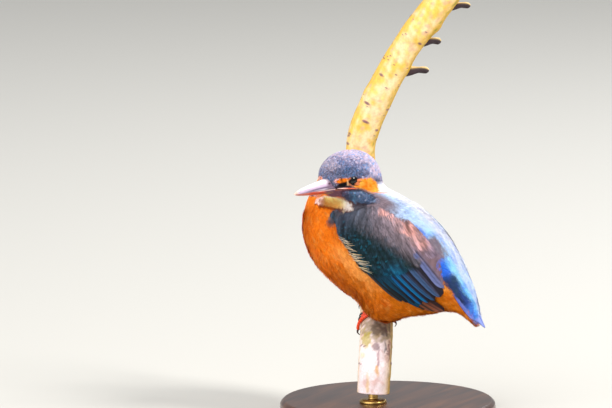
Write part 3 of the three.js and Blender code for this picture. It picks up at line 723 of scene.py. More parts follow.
def crown_colour(places, mottled):
    """Dark crown with lighter mottling: a painted pinkish sheen, the sky's reflection, high up
    and towards the nape, a grey forehead, and a dark blue brow over the near eye."""
    forward, side, up = np.moveaxis(places, -1, 0)
    sheen = 0.68 * blend(4, 14, up - 0.4 * forward - 0.1 * side + 5 * mottled)
    sheen = np.maximum(sheen, 0.6 * blend(5, -4, forward) * blend(-2, 4, up))
    crown = layered(
        linear(*CROWN_DARK),
        (*CROWN_BAR, 0.25 * blend(-0.1, 0.4, mottled)),
        (*CROWN_SHEEN, sheen))
    forehead = mix(linear(96, 86, 98), linear(176, 162, 176), blend(4, 10, up + 3 * mottled))
    crown = mix(crown, forehead, 0.7 * blend(11, 17, forward - 0.5 * side + 3 * mottled))
    return layered(crown, (40, 60, 88, 0.6 * patch_share(places, BROW, 1.8, False)))


def markings(points, out):
    """Plumage colour at points of the body: the orange underside, the blue back over what
    faces up and what lies above the tail's edge, the nape, chin and crown, the front edge of
    the wing, and then each patch of the face over the last."""
    dice = np.random.default_rng(MARKING_SEED)
    streak = ripple(combed(points), 4.5, dice, 12)
    fine = ripple(combed(points), 2.2, dice, 14)
    x, y = points[..., 0], points[..., 1]
    along, rise = flank_place(points)
    tint = belly_colour(points, streak, fine)
    tail_along = (points - TAIL_ROOT) @ TAIL_AHEAD
    above = (points - TAIL_ROOT) @ TAIL_UP - np.interp(tail_along, *UNDER_EDGE.T)
    on_top = blend(0.1, 0.4, out @ np.array([0, 0.6, 0.8])) * blend(-9, -4, y)
    on_top = on_top + (blend(-0.5, 0.5, above) - on_top) * blend(-16, -9, tail_along)
    tint = mix(tint, back_colour(points, above, tail_along, dice), on_top)
    grey_top = blend(26, 22.5, rise) * blend(12, 15, rise) * blend(26, 14, along) * blend(5, 9, np.abs(x))

    mottled = ripple(points, 2.6, dice, 11)
    places = head_place(points)
    forward, side, up = np.moveaxis(places, -1, 0)
    head = blend(-17, -11, up + 0.1 * forward) * blend(32, 27, np.linalg.norm(places, axis=-1))
    far_nape = blend(2, -2, x) * blend(-6, -10, y) * blend(-10, -6, side) * blend(-16, -12, up) * head
    chin = blend(-2.2, -3.6, up) * blend(9, 12.5, forward) * head
    tint = layered(
        tint,
        (136, 120, 130, grey_top * blend(-7, -1, along)),
        (*SLATE, blend(5, -2, forward) * head * blend(-3.5, -0.5, up)))
    nape = layered(linear(*SLATE), (*CROWN_BAR, 0.4 * blend(0, 0.4, mottled)))
    tint = layered(
        mix(tint, nape, far_nape),
        (128, 84, 98, chin * blend(-9, -6, up) * blend(-5, 0, side)),
        (112, 92, 104, blend(14, 16.5, forward) * blend(-3.5, -2, up) * head))
    tint = mix(tint, crown_colour(places, mottled), blend(-0.5, 0.5, up - crown_floor(places)) * head)

    uneven = points[..., [1, 0, 2]] + 1.2 * fine[..., None]
    shifted = places + FAR_SHIFT * blend(0, -2, side)[..., None]
    shown = 1 - blend(-2, -5, side) * blend(7, 10, forward)
    # Painted shadows: a dark band just under the cheek patch, and a dark orange-brown one just under the
    # throat patch.
    shade = blend(2.4, 0.4, along_path(shifted + [0, 0, 0.5], MALAR)) * blend(16, 14, forward)
    tint = layered(
        tint,
        (98, 96, 108, patch_share(uneven, SHOULDER, 1.3)),
        (50, 36, 46, 0.85 * shade * shown * blend(20, 16, side)),
        (120, 50, 16, 0.75 * patch_share(places + [0, 0, 1.2], THROAT, 0.4, False)))
    cream = layered(
        linear(255, 198, 116),
        (255, 240, 232, blend(2, 6.5, side)),
        (255, 236, 200, blend(-8.6, -7.4, up) * blend(5, 2, side)),
        (255, 206, 196, blend(-5, -8, side)))
    tint = mix(tint, cream, patch_share(places, THROAT, 0.5, False))
    tint = layered(tint, (206, 132, 24, 0.85 * patch_share(places, THROAT_STAIN, 1.0, False)))
    cheek = layered(
        linear(70, 90, 118),
        (120, 190, 236, 0.5 * blend(0.1, 0.45, mottled)),
        (84, 58, 76, blend(12.5, 15.5, forward)))
    tint = mix(tint, cheek, patch_share(shifted, MALAR, 0.5) * shown)
    tint = layered(
        tint,
        (255, 150, 120, patch_share(places + [0, 0, 1.3], NECK_PATCH, 0.5)),
        (*WHITE, patch_share(places, NECK_PATCH, 0.5)))
    ear = mix(linear(255, 132, 8), linear(255, 176, 66), blend(-0.4, 0.4, mottled))
    return layered(
        mix(tint, ear, patch_share(places, EAR_PATCH, 0.5)),
        (60, 44, 56, patch_share(places, UNDER_EYE, 0.4)),
        (250, 134, 18, patch_share(places, LORE_ORANGE, 0.4)),
        (70, 36, 20, patch_share(places, LORE_BAR, 0.3)),
        (14, 9, 12, patch_share(places, LORE_DARK, 0.35)),
        (*LID_DARK, blend(2.75, 2.4, eye_gap(points))),
        (*LID_DARK, patch_share(places, EYE_CORNERS, 0.4)),
        (255, 206, 150, patch_share(places, EYE_SPOT, 0.3)))


plumage = grained_material(
    "Plumage", 0.66, 2600.0, [(0.3, 170, 170, 176), (0.6, 255, 255, 255)], bump=(0.25, 0.0002),
    tint_share=0.3, grain={"Detail": 3.0, "Roughness": 0.6}, Specular_IOR_Level=0.14)

skin_map = np.stack(np.meshgrid(np.linspace(0.01, 0.99, SKIN_SIDES),
                                np.linspace(0.01, 0.99, SKIN_RINGS)), -1)
skin_faces = [part[:, ::-1] for part in capped_tube(skin)]
# Painted shade: the skin, seen only between the feathers, has the plumage's colours at 0.7.
skin_tint = markings(skin.reshape(-1, 3), skin_out.reshape(-1, 3)) * 0.7
skin_piece = new_piece("body_skin", on_stand(skin), skin_faces, plumage,
                       {"OFBake": skin_map.reshape(-1, 2)}, skin_tint)
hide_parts("head", "neck", "trunk")

# ---- Coat --------------------------------------------------------------------------------
# Small feathers over the skin, except under the folded wings. Each is a thin tuft or scale
# that lies backwards, is buried at its root, and about reaches the outline at its tip.
COAT_EDGE = 0.0015  # half width of a feather's patch on the coat's map
EYE_BARE = 2.65  # no feather is rooted nearer than this to a line of sight
EYE_CLEAR = 2.5  # a feather that would reach nearer than about this is cut short
PLASTIC_STEPS = (0.7548776662466927, 0.5698402909980532)
SIDES = (("left", 1), ("right", -1))


def blades(count, rows):
    """Narrow pointed blades side by side: share along, share across, faces, and each point's
    blade. Each tapers as (1 - s^2.2)^0.8 and leans outwards; outer ones are shorter."""
    s, a, faces = [], [], []
    for middle in np.linspace(-1, 1, count) * (1 - 1 / count):
        first = len(s)
        for step in np.linspace(0, 1, rows + 1)[:-1]:
            half = 1.25 / count * (1 - step**2.2) ** 0.8 * (0.55 + 0.45 * min(step * 4, 1))
            s += [step * (1 - 0.14 * abs(middle))] * 2
            a += [middle * (0.6 + 0.5 * step) - half, middle * (0.6 + 0.5 * step) + half]
        s.append(1 - 0.14 * abs(middle))
        a.append(middle * 1.1)
        for row in range(rows - 1):
            k = first + 2 * row
            faces.append([k, k + 1, k + 3, k + 2])
        last = first + 2 * rows - 2
        faces.append([last, last + 1, last + 2, last + 2])
    return np.array(s), np.array(a), np.array(faces), np.repeat(np.arange(count), 2 * rows + 1)


def scatter(weight, count, dice):
    """Evenly spread roots: the sequence of multiples of 1/p and 1/p^2, with p the plastic
    number 1.3247, carried through the summed areas of the skin's cells times weight. Returns
    grid positions (ring, side)."""
    cells = np.maximum(weight, 0)[:-1] * cell_area
    ring_sum = np.concatenate([[0], np.cumsum(cells.sum(1))])
    flat_sum = np.concatenate([[0], np.cumsum(cells.ravel())])
    order = np.arange(count) + dice.uniform(0, 1)
    first = (order * PLASTIC_STEPS[0]) % 1 * ring_sum[-1]
    second = (order * PLASTIC_STEPS[1]) % 1
    ring = np.clip(np.searchsorted(ring_sum, first) - 1, 0, SKIN_RINGS - 2)
    target = ring_sum[ring] + second * (ring_sum[ring + 1] - ring_sum[ring])
    cell = np.clip(np.searchsorted(flat_sum, target) - 1, 0, cells.size - 1)
    ring, side = np.divmod(cell, SKIN_SIDES)
    return ring + dice.uniform(0, 1, count), side + dice.uniform(0, 1, count)


def on_grid(values, ring, side):
    """Values of a grid at fractional places, mixed from the four nearest points."""
    k, j = ring.astype(int), side.astype(int)
    u, v = (ring - k)[:, None], (side - j)[:, None]
    after = (j + 1) % values.shape[1]
    j = j % values.shape[1]
    return ((1 - u) * ((1 - v) * values[k, j] + v * values[k, after])
            + u * ((1 - v) * values[k + 1, j] + v * values[k + 1, after]))


def lie_of(points, out):
    """Unit direction in which feathers lie: from the bill to the nape on the head, turning
    down over the nape and under the bill, and along the body's axis below the neck."""
    up = head_place(points)[..., 2]
    nape = np.clip(-out @ HEAD_AHEAD, 0, 1)
    down = nape + blend(1, -7, up)
    on_head = -HEAD_AHEAD + down[..., None] * np.array([0, 0.15, -1.0])
    way = mix(on_head, BODY_AXIS, blend(-7, -17, up))
    return unit(way - (way * out).sum(-1, keepdims=True) * out)


def coat_piece(name, shape, points, tint, spot, side=1):
    """One mesh of many feathers, each mapped to a patch at its spot on the unwrap. A mirrored
    piece has side -1, which turns its faces over."""
    s, a, faces, _ = shape
    patch = 0.01 + 0.98 * np.clip(spot, 0, 1)[:, None] + np.stack([a, 2 * s - 1], -1) * COAT_EDGE
    corner = (faces[None] + len(s) * np.arange(len(points))[:, None, None]).reshape(-1, 4)
    three = corner[:, 2] == corner[:, 3]
    feather_faces = [corner[~three][:, ::-side], corner[three][:, :3][:, ::-side]]
    piece = new_piece(name, on_stand(points), feather_faces, plumage,
                      {"OFBake": patch.reshape(-1, 2)}, tint.reshape(-1, 3))


def lay_coat(name, shape, roots, length, half_width, dice, lift=0.0, paint=None, turn=6.0,
             relief=0.0, heading=None):
    """Feathers at roots on the skin's grid. A point of a feather starts at root + lie * s * length +
    across * a * half width, and is then moved along the root's outward direction until it is
    (1 - s^0.7) of the coat's depth inside the outline, plus lift * s^2 and clumps of relief.
    Feathers that would reach over an eye are cut short."""
    s, a, _, strand = shape
    clear = eye_gap(on_grid(skin, *roots)) > EYE_BARE
    ring, side = roots[0][clear], roots[1][clear]
    length, half_width = (np.broadcast_to(size, clear.shape)[clear] for size in (length, half_width))
    root = on_grid(skin, ring, side)
    out = unit(on_grid(skin_out, ring, side))
    lie = lie_of(root, out)
    if heading is not None:
        lie = unit(heading - (out @ heading)[:, None] * out)
    angle = np.radians(dice.normal(0, turn, len(root)))[:, None]
    lie = lie * np.cos(angle) + np.cross(out, lie) * np.sin(angle)
    across = np.cross(out, lie)
    length = length * dice.uniform(0.85, 1.15, len(root))
    to_eye = np.minimum(eye_gap(root), eye_gap(root + lie * (0.5 * length)[:, None]))
    to_eye = np.minimum(to_eye, eye_gap(root + lie * length[:, None]))
    short = np.clip(eye_gap(root) - EYE_CLEAR, 0.3, length)
    length = np.where(to_eye < EYE_CLEAR + 0.05, short, length)
    step = lie[:, None] * (s * length[:, None])[..., None]
    step = step + across[:, None] * (a * half_width[:, None])[..., None]
    points = root[:, None] + step
    depth = (coat_depth(root) - socket_drop(eye_gap(root)))[:, None]
    lift = lift * dice.uniform(0.3, 1.0, (len(root), 1))
    level = -depth * (1 - s**0.7) - 0.12 * dice.uniform(0, 1, (len(root), 1)) + lift * s**2
    level = level - 0.12 * a**2 - 0.2 * blend(3.4, 2.7, eye_gap(root))[:, None]
    clump = ripple(combed(root), 5, np.random.default_rng(6), 10)
    level = level + relief * clump[:, None] * s
    for _ in range(2):
        points = points + out[:, None] * (level - outline_distance(points))[..., None]
    tip = root + lie * (0.7 * length)[:, None]
    tint = markings(tip, out)
    tint = tint * dice.uniform(0.92, 1.12, (len(root), 1))
    # Painted shade: each feather is darker towards its buried root.
    tint = tint[:, None] * (0.8 + 0.25 * s)[:, None]
    tint = tint * dice.uniform(0.8, 1.2, (len(root), strand.max() + 1))[:, strand, None]
    if paint is not None:
        tint = paint(tint, s, a, dice)
    spot = np.stack([side / SKIN_SIDES, ring / SKIN_RINGS], -1)
    coat_piece(name, shape, points, tint, spot)


skin_places = head_place(skin)
skin_forward, skin_side, skin_up = np.moveaxis(skin_places, -1, 0)
near_head = np.linalg.norm(skin_places, axis=-1) < 31
on_crown = (skin_up > crown_floor(skin_places)) & near_head
fineness = skin_forward + 0.9 * np.minimum(skin_up + 5, 0)
on_face = (skin_up > -14.6) & near_head & ~on_crown
bare = (eye_gap(skin) < EYE_BARE + 0.1) | (skin_forward > 23.4) | ((skin_forward > 21.5) & (skin_up < -1))
body_along, body_rise = flank_place(skin)
# Nothing grows where the folded wings lie: between these heights along each flank.
UNDER_WING = np.array([(8, -1, 12), (15, -2.5, 18), (28, -5.6, 20.4), (42, -7.4, 19.4), (54, -7, 15.5),
                       (62, -5.6, 8)]).T
covered = (body_along > 8) & (body_along < 62) & (np.abs(skin[..., 0]) > 6)
covered = covered & (body_rise > np.interp(body_along, UNDER_WING[0], UNDER_WING[1]))
covered = covered & (body_rise < np.interp(body_along, UNDER_WING[0], UNDER_WING[2]))
on_back = ~on_crown & ~on_face & (body_rise > 5) & (skin[..., 1] > -14)
on_back = on_back & ((skin - TAIL_ROOT) @ TAIL_UP > -1) & ~covered
on_front = ~on_crown & ~on_face & ~on_back & ~covered
coat_dice = np.random.default_rng(21)


def sized(root_forward, small, large):
    """A feather size that is small in front of the eyes and grows towards the nape."""
    return small + (large - small) * blend(17, 3, root_forward)


def towards_end(length, roots):
    """Feather lengths that shrink near the tip of the under tail, so that none passes it."""
    return length * np.clip((53 - on_grid(skin, *roots)[:, 1]) / 9, 0.2, 1)


def crown_paint(tint, s, a, dice):
    """Crown and cheek feathers are dark, with a blue or lilac bar just before the tip; whole
    feathers differ a little, some bluer and some pinker."""
    bar = blend(0.4, 0.55, s) * blend(1.05, 0.9, s + 0.1 * a**2) * (1 - 0.4 * np.abs(a))
    light = blend(0.02, 0.3, tint.mean((1, 2)))
    strong = dice.uniform(0, 1, (len(tint), 1)) ** 1.3 * (0.55 + 0.45 * light[:, None])
    warm = dice.uniform(-1, 1, (len(tint), 1, 1))
    tint = tint * (1 + 0.22 * warm * np.array([1, -0.1, -0.6]))
    tint = tint * dice.uniform(0.55, 1.2, (len(tint), 1, 1))
    bar_tint = mix(linear(140, 168, 226), linear(238, 220, 240), light)[:, None]
    azure = (dice.uniform(0, 1, len(tint)) < 0.22)[:, None, None]
    bar_tint = np.where(azure, linear(96, 168, 236), bar_tint)
    return mix(tint, bar_tint, strong * bar)


def throat_paint(tint, s, a, dice):
    """Throat feathers are clean and pale almost to their roots."""
    return tint * (1.3 - 0.12 * s)[:, None]


def back_paint(tint, s, a, dice):
    """Single barbs of the back are a deeper blue, or nearly white, beside the rest."""
    barb = np.repeat(dice.uniform(0, 1, (len(tint), 4)), len(s) // 4, axis=1)
    deeper = mix(tint, tint * np.array([0.5, 0.7, 0.98]), 0.8 * blend(0.34, 0.12, barb))
    paler = 0.7 * blend(0.8, 0.95, barb) * blend(0.05, 0.3, tint.mean(-1))
    return mix(deeper, tint * 0.6 + 0.4, paler)


def fine_weight(mask, forward):
    """Scatter weight of feathers whose size follows the forward distance."""
    return mask / sized(forward, 0.5, 1.0) ** 2


cheek_share = patch_share(skin_places + FAR_SHIFT * blend(0, -2, skin_side)[..., None], MALAR, 0.5)
on_cheek = on_face & (cheek_share > 0.5)
on_throat = on_face & (patch_share(skin_places, THROAT, 0.5, False) > 0.4)
plain_face = on_face & ~on_cheek & ~on_throat & ~bare
roots = scatter(fine_weight(on_crown & ~bare, skin_forward), 4600, coat_dice)
forward = on_grid(skin_places, *roots)[:, 0]
lay_coat("coat_crown", blades(5, 3), roots, sized(forward, 1.5, 3.2), sized(forward, 0.38, 0.8),
         coat_dice, 0.25, crown_paint)
roots = scatter(on_cheek & ~bare, 2400, coat_dice)
lay_coat("coat_cheek", blades(5, 3), roots, 2.4, 0.48, coat_dice, 0.7, crown_paint)
roots = scatter(fine_weight(plain_face, fineness), 9900, coat_dice)
forward = on_grid(fineness[..., None], *roots)[:, 0]
lay_coat("coat_face", blades(3, 3), roots, sized(forward, 1.1, 4.0), sized(forward, 0.28, 0.75),
         coat_dice, 0.15)
roots = scatter(on_throat, 1500, coat_dice)
lay_coat("coat_throat", blades(4, 4), roots, 4.6, 0.8, coat_dice, 1.4, throat_paint,
         heading=0.9 * HEAD_LEFT - 0.25 * HEAD_AHEAD - np.array([0, 0, 0.4]))
roots = scatter(on_front & (skin[..., 2] > 40), 9900, coat_dice)
lay_coat("coat_breast", blades(4, 3), roots, 6.0, 1.2, coat_dice, 0.6, turn=10, relief=1.2)
roots = scatter(on_front & (skin[..., 2] <= 40), 9900, coat_dice)
lay_coat("coat_belly", blades(4, 3), roots, towards_end(7.0, roots), 1.3, coat_dice, 1.2,
         turn=13, relief=1.4)
roots = scatter(on_back, 9900, coat_dice)
lay_coat("coat_back", blades(4, 3), roots, towards_end(7.5, roots), 1.1, coat_dice, 0.5,
         back_paint, relief=0.7)

# Dark tufts of the shoulder lie back over the front edge of each folded wing.
at_bend = (body_along > -5.5) & (body_along < 5.5) & (body_rise > -5) & (body_rise < 14)
roots = scatter(at_bend & (np.abs(skin[..., 0]) > 11) & ~bare, 1500, coat_dice)
lay_coat("coat_shoulder", blades(4, 4), roots, 5.5, 0.95, coat_dice, 2.2, turn=16,
         heading=np.array([0, 0.85, -0.5]))

# ---- Eyes --------------------------------------------------------------------------------
# Two polished dark balls of glass, set forward in the head, each behind a thin rim of bare
# lid that runs out into the feathers.
EYE_SIDES = 64
EYE_RINGS = 40
# Rings of a lid from its inner edge: radius, and depth under the outline. The first two stay
# on the eyeball instead.
LID_RADIUS = np.array([2.0, 2.12, 2.2, 2.26, 2.34, 2.48, 2.66, 2.9, 3.3])
LID_DEPTH = np.array([0, 0, 0.86, 0.66, 0.56, 0.58, 0.74, 1.0, 1.5])


def eye_ring(side, radius, height, flatten=1.0):
    """Rings round the line of sight: middle + height * look + radius * (level cos a + flatten *
    up sin a), for arrays of radius and height."""
    middle, look, level, upward = eye_frame(side)
    angle = np.arange(EYE_SIDES) * 2 * np.pi / EYE_SIDES
    around = level * np.cos(angle)[:, None] + upward * (flatten * np.sin(angle))[:, None]
    return middle + height[:, None, None] * look + radius[:, None, None] * around


eye_gloss = grained_material(
    "EyeGloss", 0.05, 1800.0, [], tint_share=0.5, grain={"Detail": 2.0}, Specular_IOR_Level=0.45)
lid_skin = grained_material(
    "LidSkin", 0.5, 3200.0, [(0.3, 12, 9, 11), (0.7, 34, 27, 31)], bump=(0.4, 0.0001),
    grain={"Detail": 3.0}, Sheen_Weight=0.1)

for name, side in SIDES:
    polar = np.linspace(0.01, np.pi - 0.01, EYE_RINGS)
    ball = eye_ring(side, EYE_RADIUS * np.sin(polar), EYE_RADIUS * np.cos(polar))
    iris_tint = mix(linear(4, 3, 4), linear(34, 20, 14), blend(0.4, 0.5, polar))
    iris_tint = mix(iris_tint, linear(10, 8, 10), blend(0.62, 0.78, polar))
    ball_faces = [part[:, ::-side] for part in capped_tube(ball)]
    eye = new_piece(f"eye_ball_{name}", on_stand(ball), ball_faces,
                    eye_gloss, tint=np.repeat(iris_tint, EYE_SIDES, 0))
    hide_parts(f"eye_{name}")
    lid_height = np.sqrt(EYE_RADIUS**2 - np.minimum(LID_RADIUS, 3) ** 2)
    lid = eye_ring(side, LID_RADIUS, lid_height, EYE_FLATNESS)
    look = eye_frame(side)[1]
    for _ in range(3):
        lid[2:] -= (outline_distance(lid[2:]) + LID_DEPTH[2:, None])[..., None] * look
    lid_faces = [grid_faces(len(lid), EYE_SIDES, True)[:, ::side]]
    rim = new_piece(f"eye_lid_{name}", on_stand(lid), lid_faces, lid_skin)

# ---- Bill --------------------------------------------------------------------------------
# Two long halves of horn that meet along a closed edge. The upper one is dark horn painted
# pale along its ridge and its lower edge, lilac between, as a painted reflection of the sky,
# with a slit nostril each side; the lower one is purple at its root and then orange-red.
BILL_ROOT = 13.5
BILL_TIP = 56.3
BILL_LOW_TIP = 55.0
BILL_LINE = (-3.0, -1.1)
BILL_WIDTH = 4.6
BILL_RIDGE = 6.0
BILL_KEEL = 3.1
BILL_RINGS = 120
BILL_ARCH = 36


def bill_half(tip, height):
    """Half of the bill in head places. The half width shrinks as (1-t)^0.85 and the height
    as (1-t)^0.55 from root to tip; each section is a full arch over a flat closed edge, and
    the arch narrows again where the feathers cover its root."""
    t = (np.linspace(0, 1, BILL_RINGS) ** 0.8)[:, None]
    narrow = (1 - t) ** 0.85 * 0.97 + 0.02
    slim = (1 - t) ** 0.55 * 0.97 + 0.02
    line = BILL_LINE[0] + (BILL_LINE[1] - BILL_LINE[0]) * t**0.7 + 0.08 * np.sign(height)
    angle = np.linspace(0, np.pi, BILL_ARCH)
    rise = np.maximum(np.sin(angle), 0) ** 0.8
    side = np.cos(angle) * BILL_WIDTH * narrow * (1 - 0.12 * rise)
    forward = BILL_ROOT + (tip - BILL_ROOT) * t + 0 * side
    buried = 1 - 0.3 * blend(24.5, 20, forward) * blend(0.05, 0.45, rise) * (height > 0)
    return np.stack([forward, side * buried, line + height * slim * rise * buried], -1), rise


horn = grained_material(
    "BillHorn", 0.3, (160.0, 1500.0, 1500.0), [(0.3, 168, 158, 166), (0.65, 255, 255, 255)],
    bump=(0.15, 0.0001), tint_share=0.4, grain={"Detail": 4.0}, Coat_Weight=0.25, Coat_Roughness=0.25)

HORN_SKY_REFLECTION = (255, 244, 250)
HORN_MAUVE = (84, 62, 98)
HORN_PURPLE = (104, 52, 84)
HORN_RED = (222, 82, 44)
for name, tip, height in (("upper", BILL_TIP, BILL_RIDGE), ("lower", BILL_LOW_TIP, -BILL_KEEL)):
    places, rise = bill_half(tip, height)
    forward, side, up = np.moveaxis(places, -1, 0)
    rise = np.broadcast_to(rise, forward.shape)
    uneven = 0.06 * np.sin(forward * 1.9 + 2 * side) + 0.05 * np.sin(forward * 4.3)
    if name == "upper":
        slit = along_path(places, [(22.8, 3.0, 0.9, 0.2), (25.4, 2.8, 0.5, 0.12)])
        dent = blend(0.5, 0, slit)
        places = places - dent[..., None] * 0.3 * np.stack([0 * side, np.sign(side), 0 * side], -1)
        groove = bell(rise - 0.26 + 0.1 * blend(30, 50, forward), 0.13)
        # Painted reflection: the upper horn's pale pinkish white, whitest along the ridge and the lower
        # edge, stands in for the sky seen in the dark horn. The groove, the darker root and the dent are
        # the horn's own.
        horn_tint = layered(
            linear(232, 208, 230),
            (*HORN_SKY_REFLECTION, blend(0.4, 0.9, rise + uneven)),
            (196, 170, 200, 0.6 * blend(0.75, 0.5, rise) * blend(20, 30, forward)),
            (*HORN_MAUVE, 0.95 * groove * blend(52, 40, forward)),
            (*HORN_SKY_REFLECTION, 0.6 * blend(0.2, 0.08, rise) * blend(40, 30, forward)),
            (116, 90, 112, 0.9 * blend(2.6, -2.0, forward - 28.2 + 2.4 * rise)),
            (250, 200, 170, 0.8 * blend(51, 55, forward)),
            (60, 16, 52, dent))
    else:
        horn_tint = layered(
            linear(*HORN_PURPLE),
            (*HORN_RED, blend(28, 33, forward + 3 * rise)),
            (206, 120, 104, blend(40, 47, forward)),
            (250, 214, 208, 0.8 * blend(0.25, 0.05, rise) * blend(40, 34, forward)),
            (238, 170, 150, 0.5 * blend(0.85, 1, rise)))
    outer_side = -1 if name == "upper" else 1
    faces = [part[:, ::outer_side] for part in capped_tube(places)]
    half = new_piece(f"bill_horn_{name}", on_stand(from_head(*np.moveaxis(places, -1, 0))), faces,
                     horn, tint=horn_tint.reshape(-1, 3))
    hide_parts(f"bill_{name}")

# The soft rim of the mouth's corner runs back from the bill under each eye.
GAPE = [(20.5, 5.2, -2.5), (17.5, 7.2, -2.6), (14.6, 9.2, -2.9), (11.2, 11.4, -3.6)]
GAPE_RADIUS = 0.34
GAPE_RINGS = 40
GAPE_SIDES = 14
for name, side in SIDES:
    line = even_line(from_head(*(np.array(GAPE) * [1, side, 1]).T), GAPE_RINGS)
    for _ in range(3):
        line = line - (outline_distance(line) + 0.1)[:, None] * outward(line)
    rim_radius = GAPE_RADIUS * np.sqrt(np.sin(np.pi * np.linspace(0.03, 0.97, GAPE_RINGS)))
    rings = tube(line, lambda t, angle: rim_radius[:, None] + 0 * angle, GAPE_SIDES)
    redness = blend(0.1, 0.6, np.linspace(0, 1, GAPE_RINGS))
    rim_tint = mix(linear(252, 206, 190), linear(226, 88, 44), redness)
    gape = new_piece(f"gape_rim_{name}", on_stand(rings), capped_tube(rings), horn,
                     tint=np.repeat(rim_tint, GAPE_SIDES, 0))

# ---- Wings -------------------------------------------------------------------------------
# Each folded wing is a bed of flesh and feather bases held against the flank. Streaky
# coverts and longer shoulder feathers lie over it, and the stiff flight feathers come out
# from under them, the innermost on top.
WING_SLOPE = np.radians(-36.7)
# Along the wing: distance from its bend, lower and upper edge, and how far it stands out.
WING = [[0, 0, 5, 17], [6, -2, 14.5, 18.5], [15, -4.5, 21.3, 20.5], [28, -7.6, 23.6, 22],
        [42, -9.4, 22.8, 19.5], [54, -9, 19, 15.5], [63, -7.6, 11.5, 12.5],
        [69, -5.6, 4.5, 11], [73.5, -3, -0.6, 10]]
WING_CLEAR = 0.8  # between the wing and the feathered flank
WING_EDGE = 0.8  # thickness at the wing's edges, and below in its middle
WING_THICK = 3.0
WING_RINGS = 150
WING_STEPS = 60
wing_share = np.linspace(0, 1, WING_RINGS)
wing_along, wing_low, wing_high, wing_stand = smooth_rows(WING)(wing_share).T


def wing_spot(along, rise):
    """Back and up coordinates of places on the wing's chord plane."""
    y = WING_BEND[0] + along * np.cos(WING_SLOPE) - rise * np.sin(WING_SLOPE)
    return y, WING_BEND[1] + along * np.sin(WING_SLOPE) + rise * np.cos(WING_SLOPE)


across = np.linspace(0, 1, WING_STEPS)
grid_rise = wing_low[:, None] + (wing_high - wing_low)[:, None] * across
grid_y, grid_z = wing_spot(wing_along[:, None] + 0 * across, grid_rise)
flank_start = np.stack([0 * grid_y, grid_y, grid_z], -1).reshape(-1, 3)
flank = reach(flank_start, np.tile([1.0, 0, 0], (len(flank_start), 1)),
              lambda points: -WING_CLEAR).reshape(grid_y.shape)
wing_inner = -soft_minimum(-flank, -wing_stand[:, None] * (1 - across**2), 4)
swell = (np.sin(np.pi * across) * np.cos(np.pi / 2 * wing_share)[:, None]).clip(0) ** 0.6
wing_form = np.stack([wing_inner, WING_EDGE + (WING_THICK - WING_EDGE) * swell], -1)


def wing_place(along, rise, share, lift):
    """Points on the left wing: share 0 is the inner face and 1 the outer, plus lift in mm. The
    bend and the upper edge are tucked in towards the body."""
    along, rise = np.broadcast_arrays(along, rise)
    low, high = np.interp(along, wing_along, wing_low), np.interp(along, wing_along, wing_high)
    rise = np.minimum(rise, high + 0.2 + 9 * blend(6, 2, along))
    ring = np.interp(along, wing_along, np.arange(WING_RINGS)).clip(0, WING_RINGS - 1.001)
    step = ((rise - low) / (high - low)).clip(0, 0.999) * (WING_STEPS - 1)
    form = on_grid(wing_form, ring.ravel(), step.ravel()).reshape(along.shape + (2,))
    y, z = wing_spot(along, rise)
    edge = step / (WING_STEPS - 1)
    tucked = 0.9 * blend(0.8, 1, edge) + 1.4 * blend(0.72, 1, edge) * blend(34, 22, along)
    tucked = tucked + 2.7 * blend(9, 0, along) + 0.8 * blend(0.84, 0.96, edge) * blend(8, 16, along)
    return np.stack([form[..., 0] + form[..., 1] * share + lift - tucked, y, z], -1)


def mirrored(points, side):
    """Points with x times side, so that -1 turns a left wing into a right one."""
    return points * [side, 1, 1]


TEAL = (2, 30, 32)
TEAL_STREAK = (34, 62, 80)
TEAL_BRIGHT = (14, 98, 138)
TEAL_SPOT = (24, 150, 190)
BROWN_GREY = (120, 105, 114)
LILAC_GREY = (112, 98, 120)
PINK_SHEEN = (212, 150, 140)
FEATHER_DARK = (26, 20, 26)
FEATHER_BROWN = (124, 70, 50)


def wing_paint(along, rise, dice):
    """Colour of covert feathers by the place of their tips: dark teal below, brownish grey above
    with a painted pink sheen on a few feathers, and slate towards the bend."""
    loose = dice.normal(0, 1, len(along))
    streaky = dice.uniform(0, 1, len(along)) ** 3
    grey = blend(6, 14.5, rise + 0.8 * loose - 0.16 * (along - 15).clip(0, 18))
    browned = grey * dice.uniform(0.55, 1, len(along))
    slate = grey * blend(26, 12, along + 2 * loose) * blend(19, 12, rise)
    beige = bell(rise - 21, 4) * bell(along - 40, 11) * dice.uniform(0.3, 1, len(along))
    pink_sheen_share = bell(rise - 22 + 0.012 * (along - 33) ** 2, 1.6) * blend(25, 29, along)
    pink_sheen_share = pink_sheen_share * blend(48, 42, along) * dice.uniform(0.3, 1, len(along))
    line = bell(rise - 20.3 - 0.24 * (along - 20), 0.7) * blend(14, 16, along) * blend(28, 25, along)
    return layered(
        linear(*TEAL),
        (*TEAL_STREAK, streaky),
        (*TEAL_BRIGHT, 0.6 * blend(34, 44, along + loose) * blend(9, 3, rise)),
        (*BROWN_GREY, browned),
        (*LILAC_GREY, grey * blend(34, 46, along) * blend(14, 19, rise)),
        (62, 76, 90, 0.75 * slate),
        (74, 80, 98, 0.85 * bell(along - 4, 6) * bell(rise - 5, 7)),
        (150, 124, 126, 0.7 * beige),
        (*PINK_SHEEN, np.maximum(pink_sheen_share, 0.8 * line)))


def wing_streaks(along, rise):
    """Brightness about 1 in long streaks, which hang steeply near the bend of the wing and
    lie back along it further on."""
    streaks = []
    for degrees, seed in ((-58, 61), (-18, 62)):
        c, s = np.cos(np.radians(degrees)), np.sin(np.radians(degrees))
        places = np.stack([along * c + rise * s, 6 * (rise * c - along * s), 0 * rise], -1)
        streaks.append(ripple(places, 13, np.random.default_rng(seed), 14))
    return 1 + 1.5 * (streaks[0] + (streaks[1] - streaks[0]) * blend(6, 42, along)).clip(-0.45, 0.6)


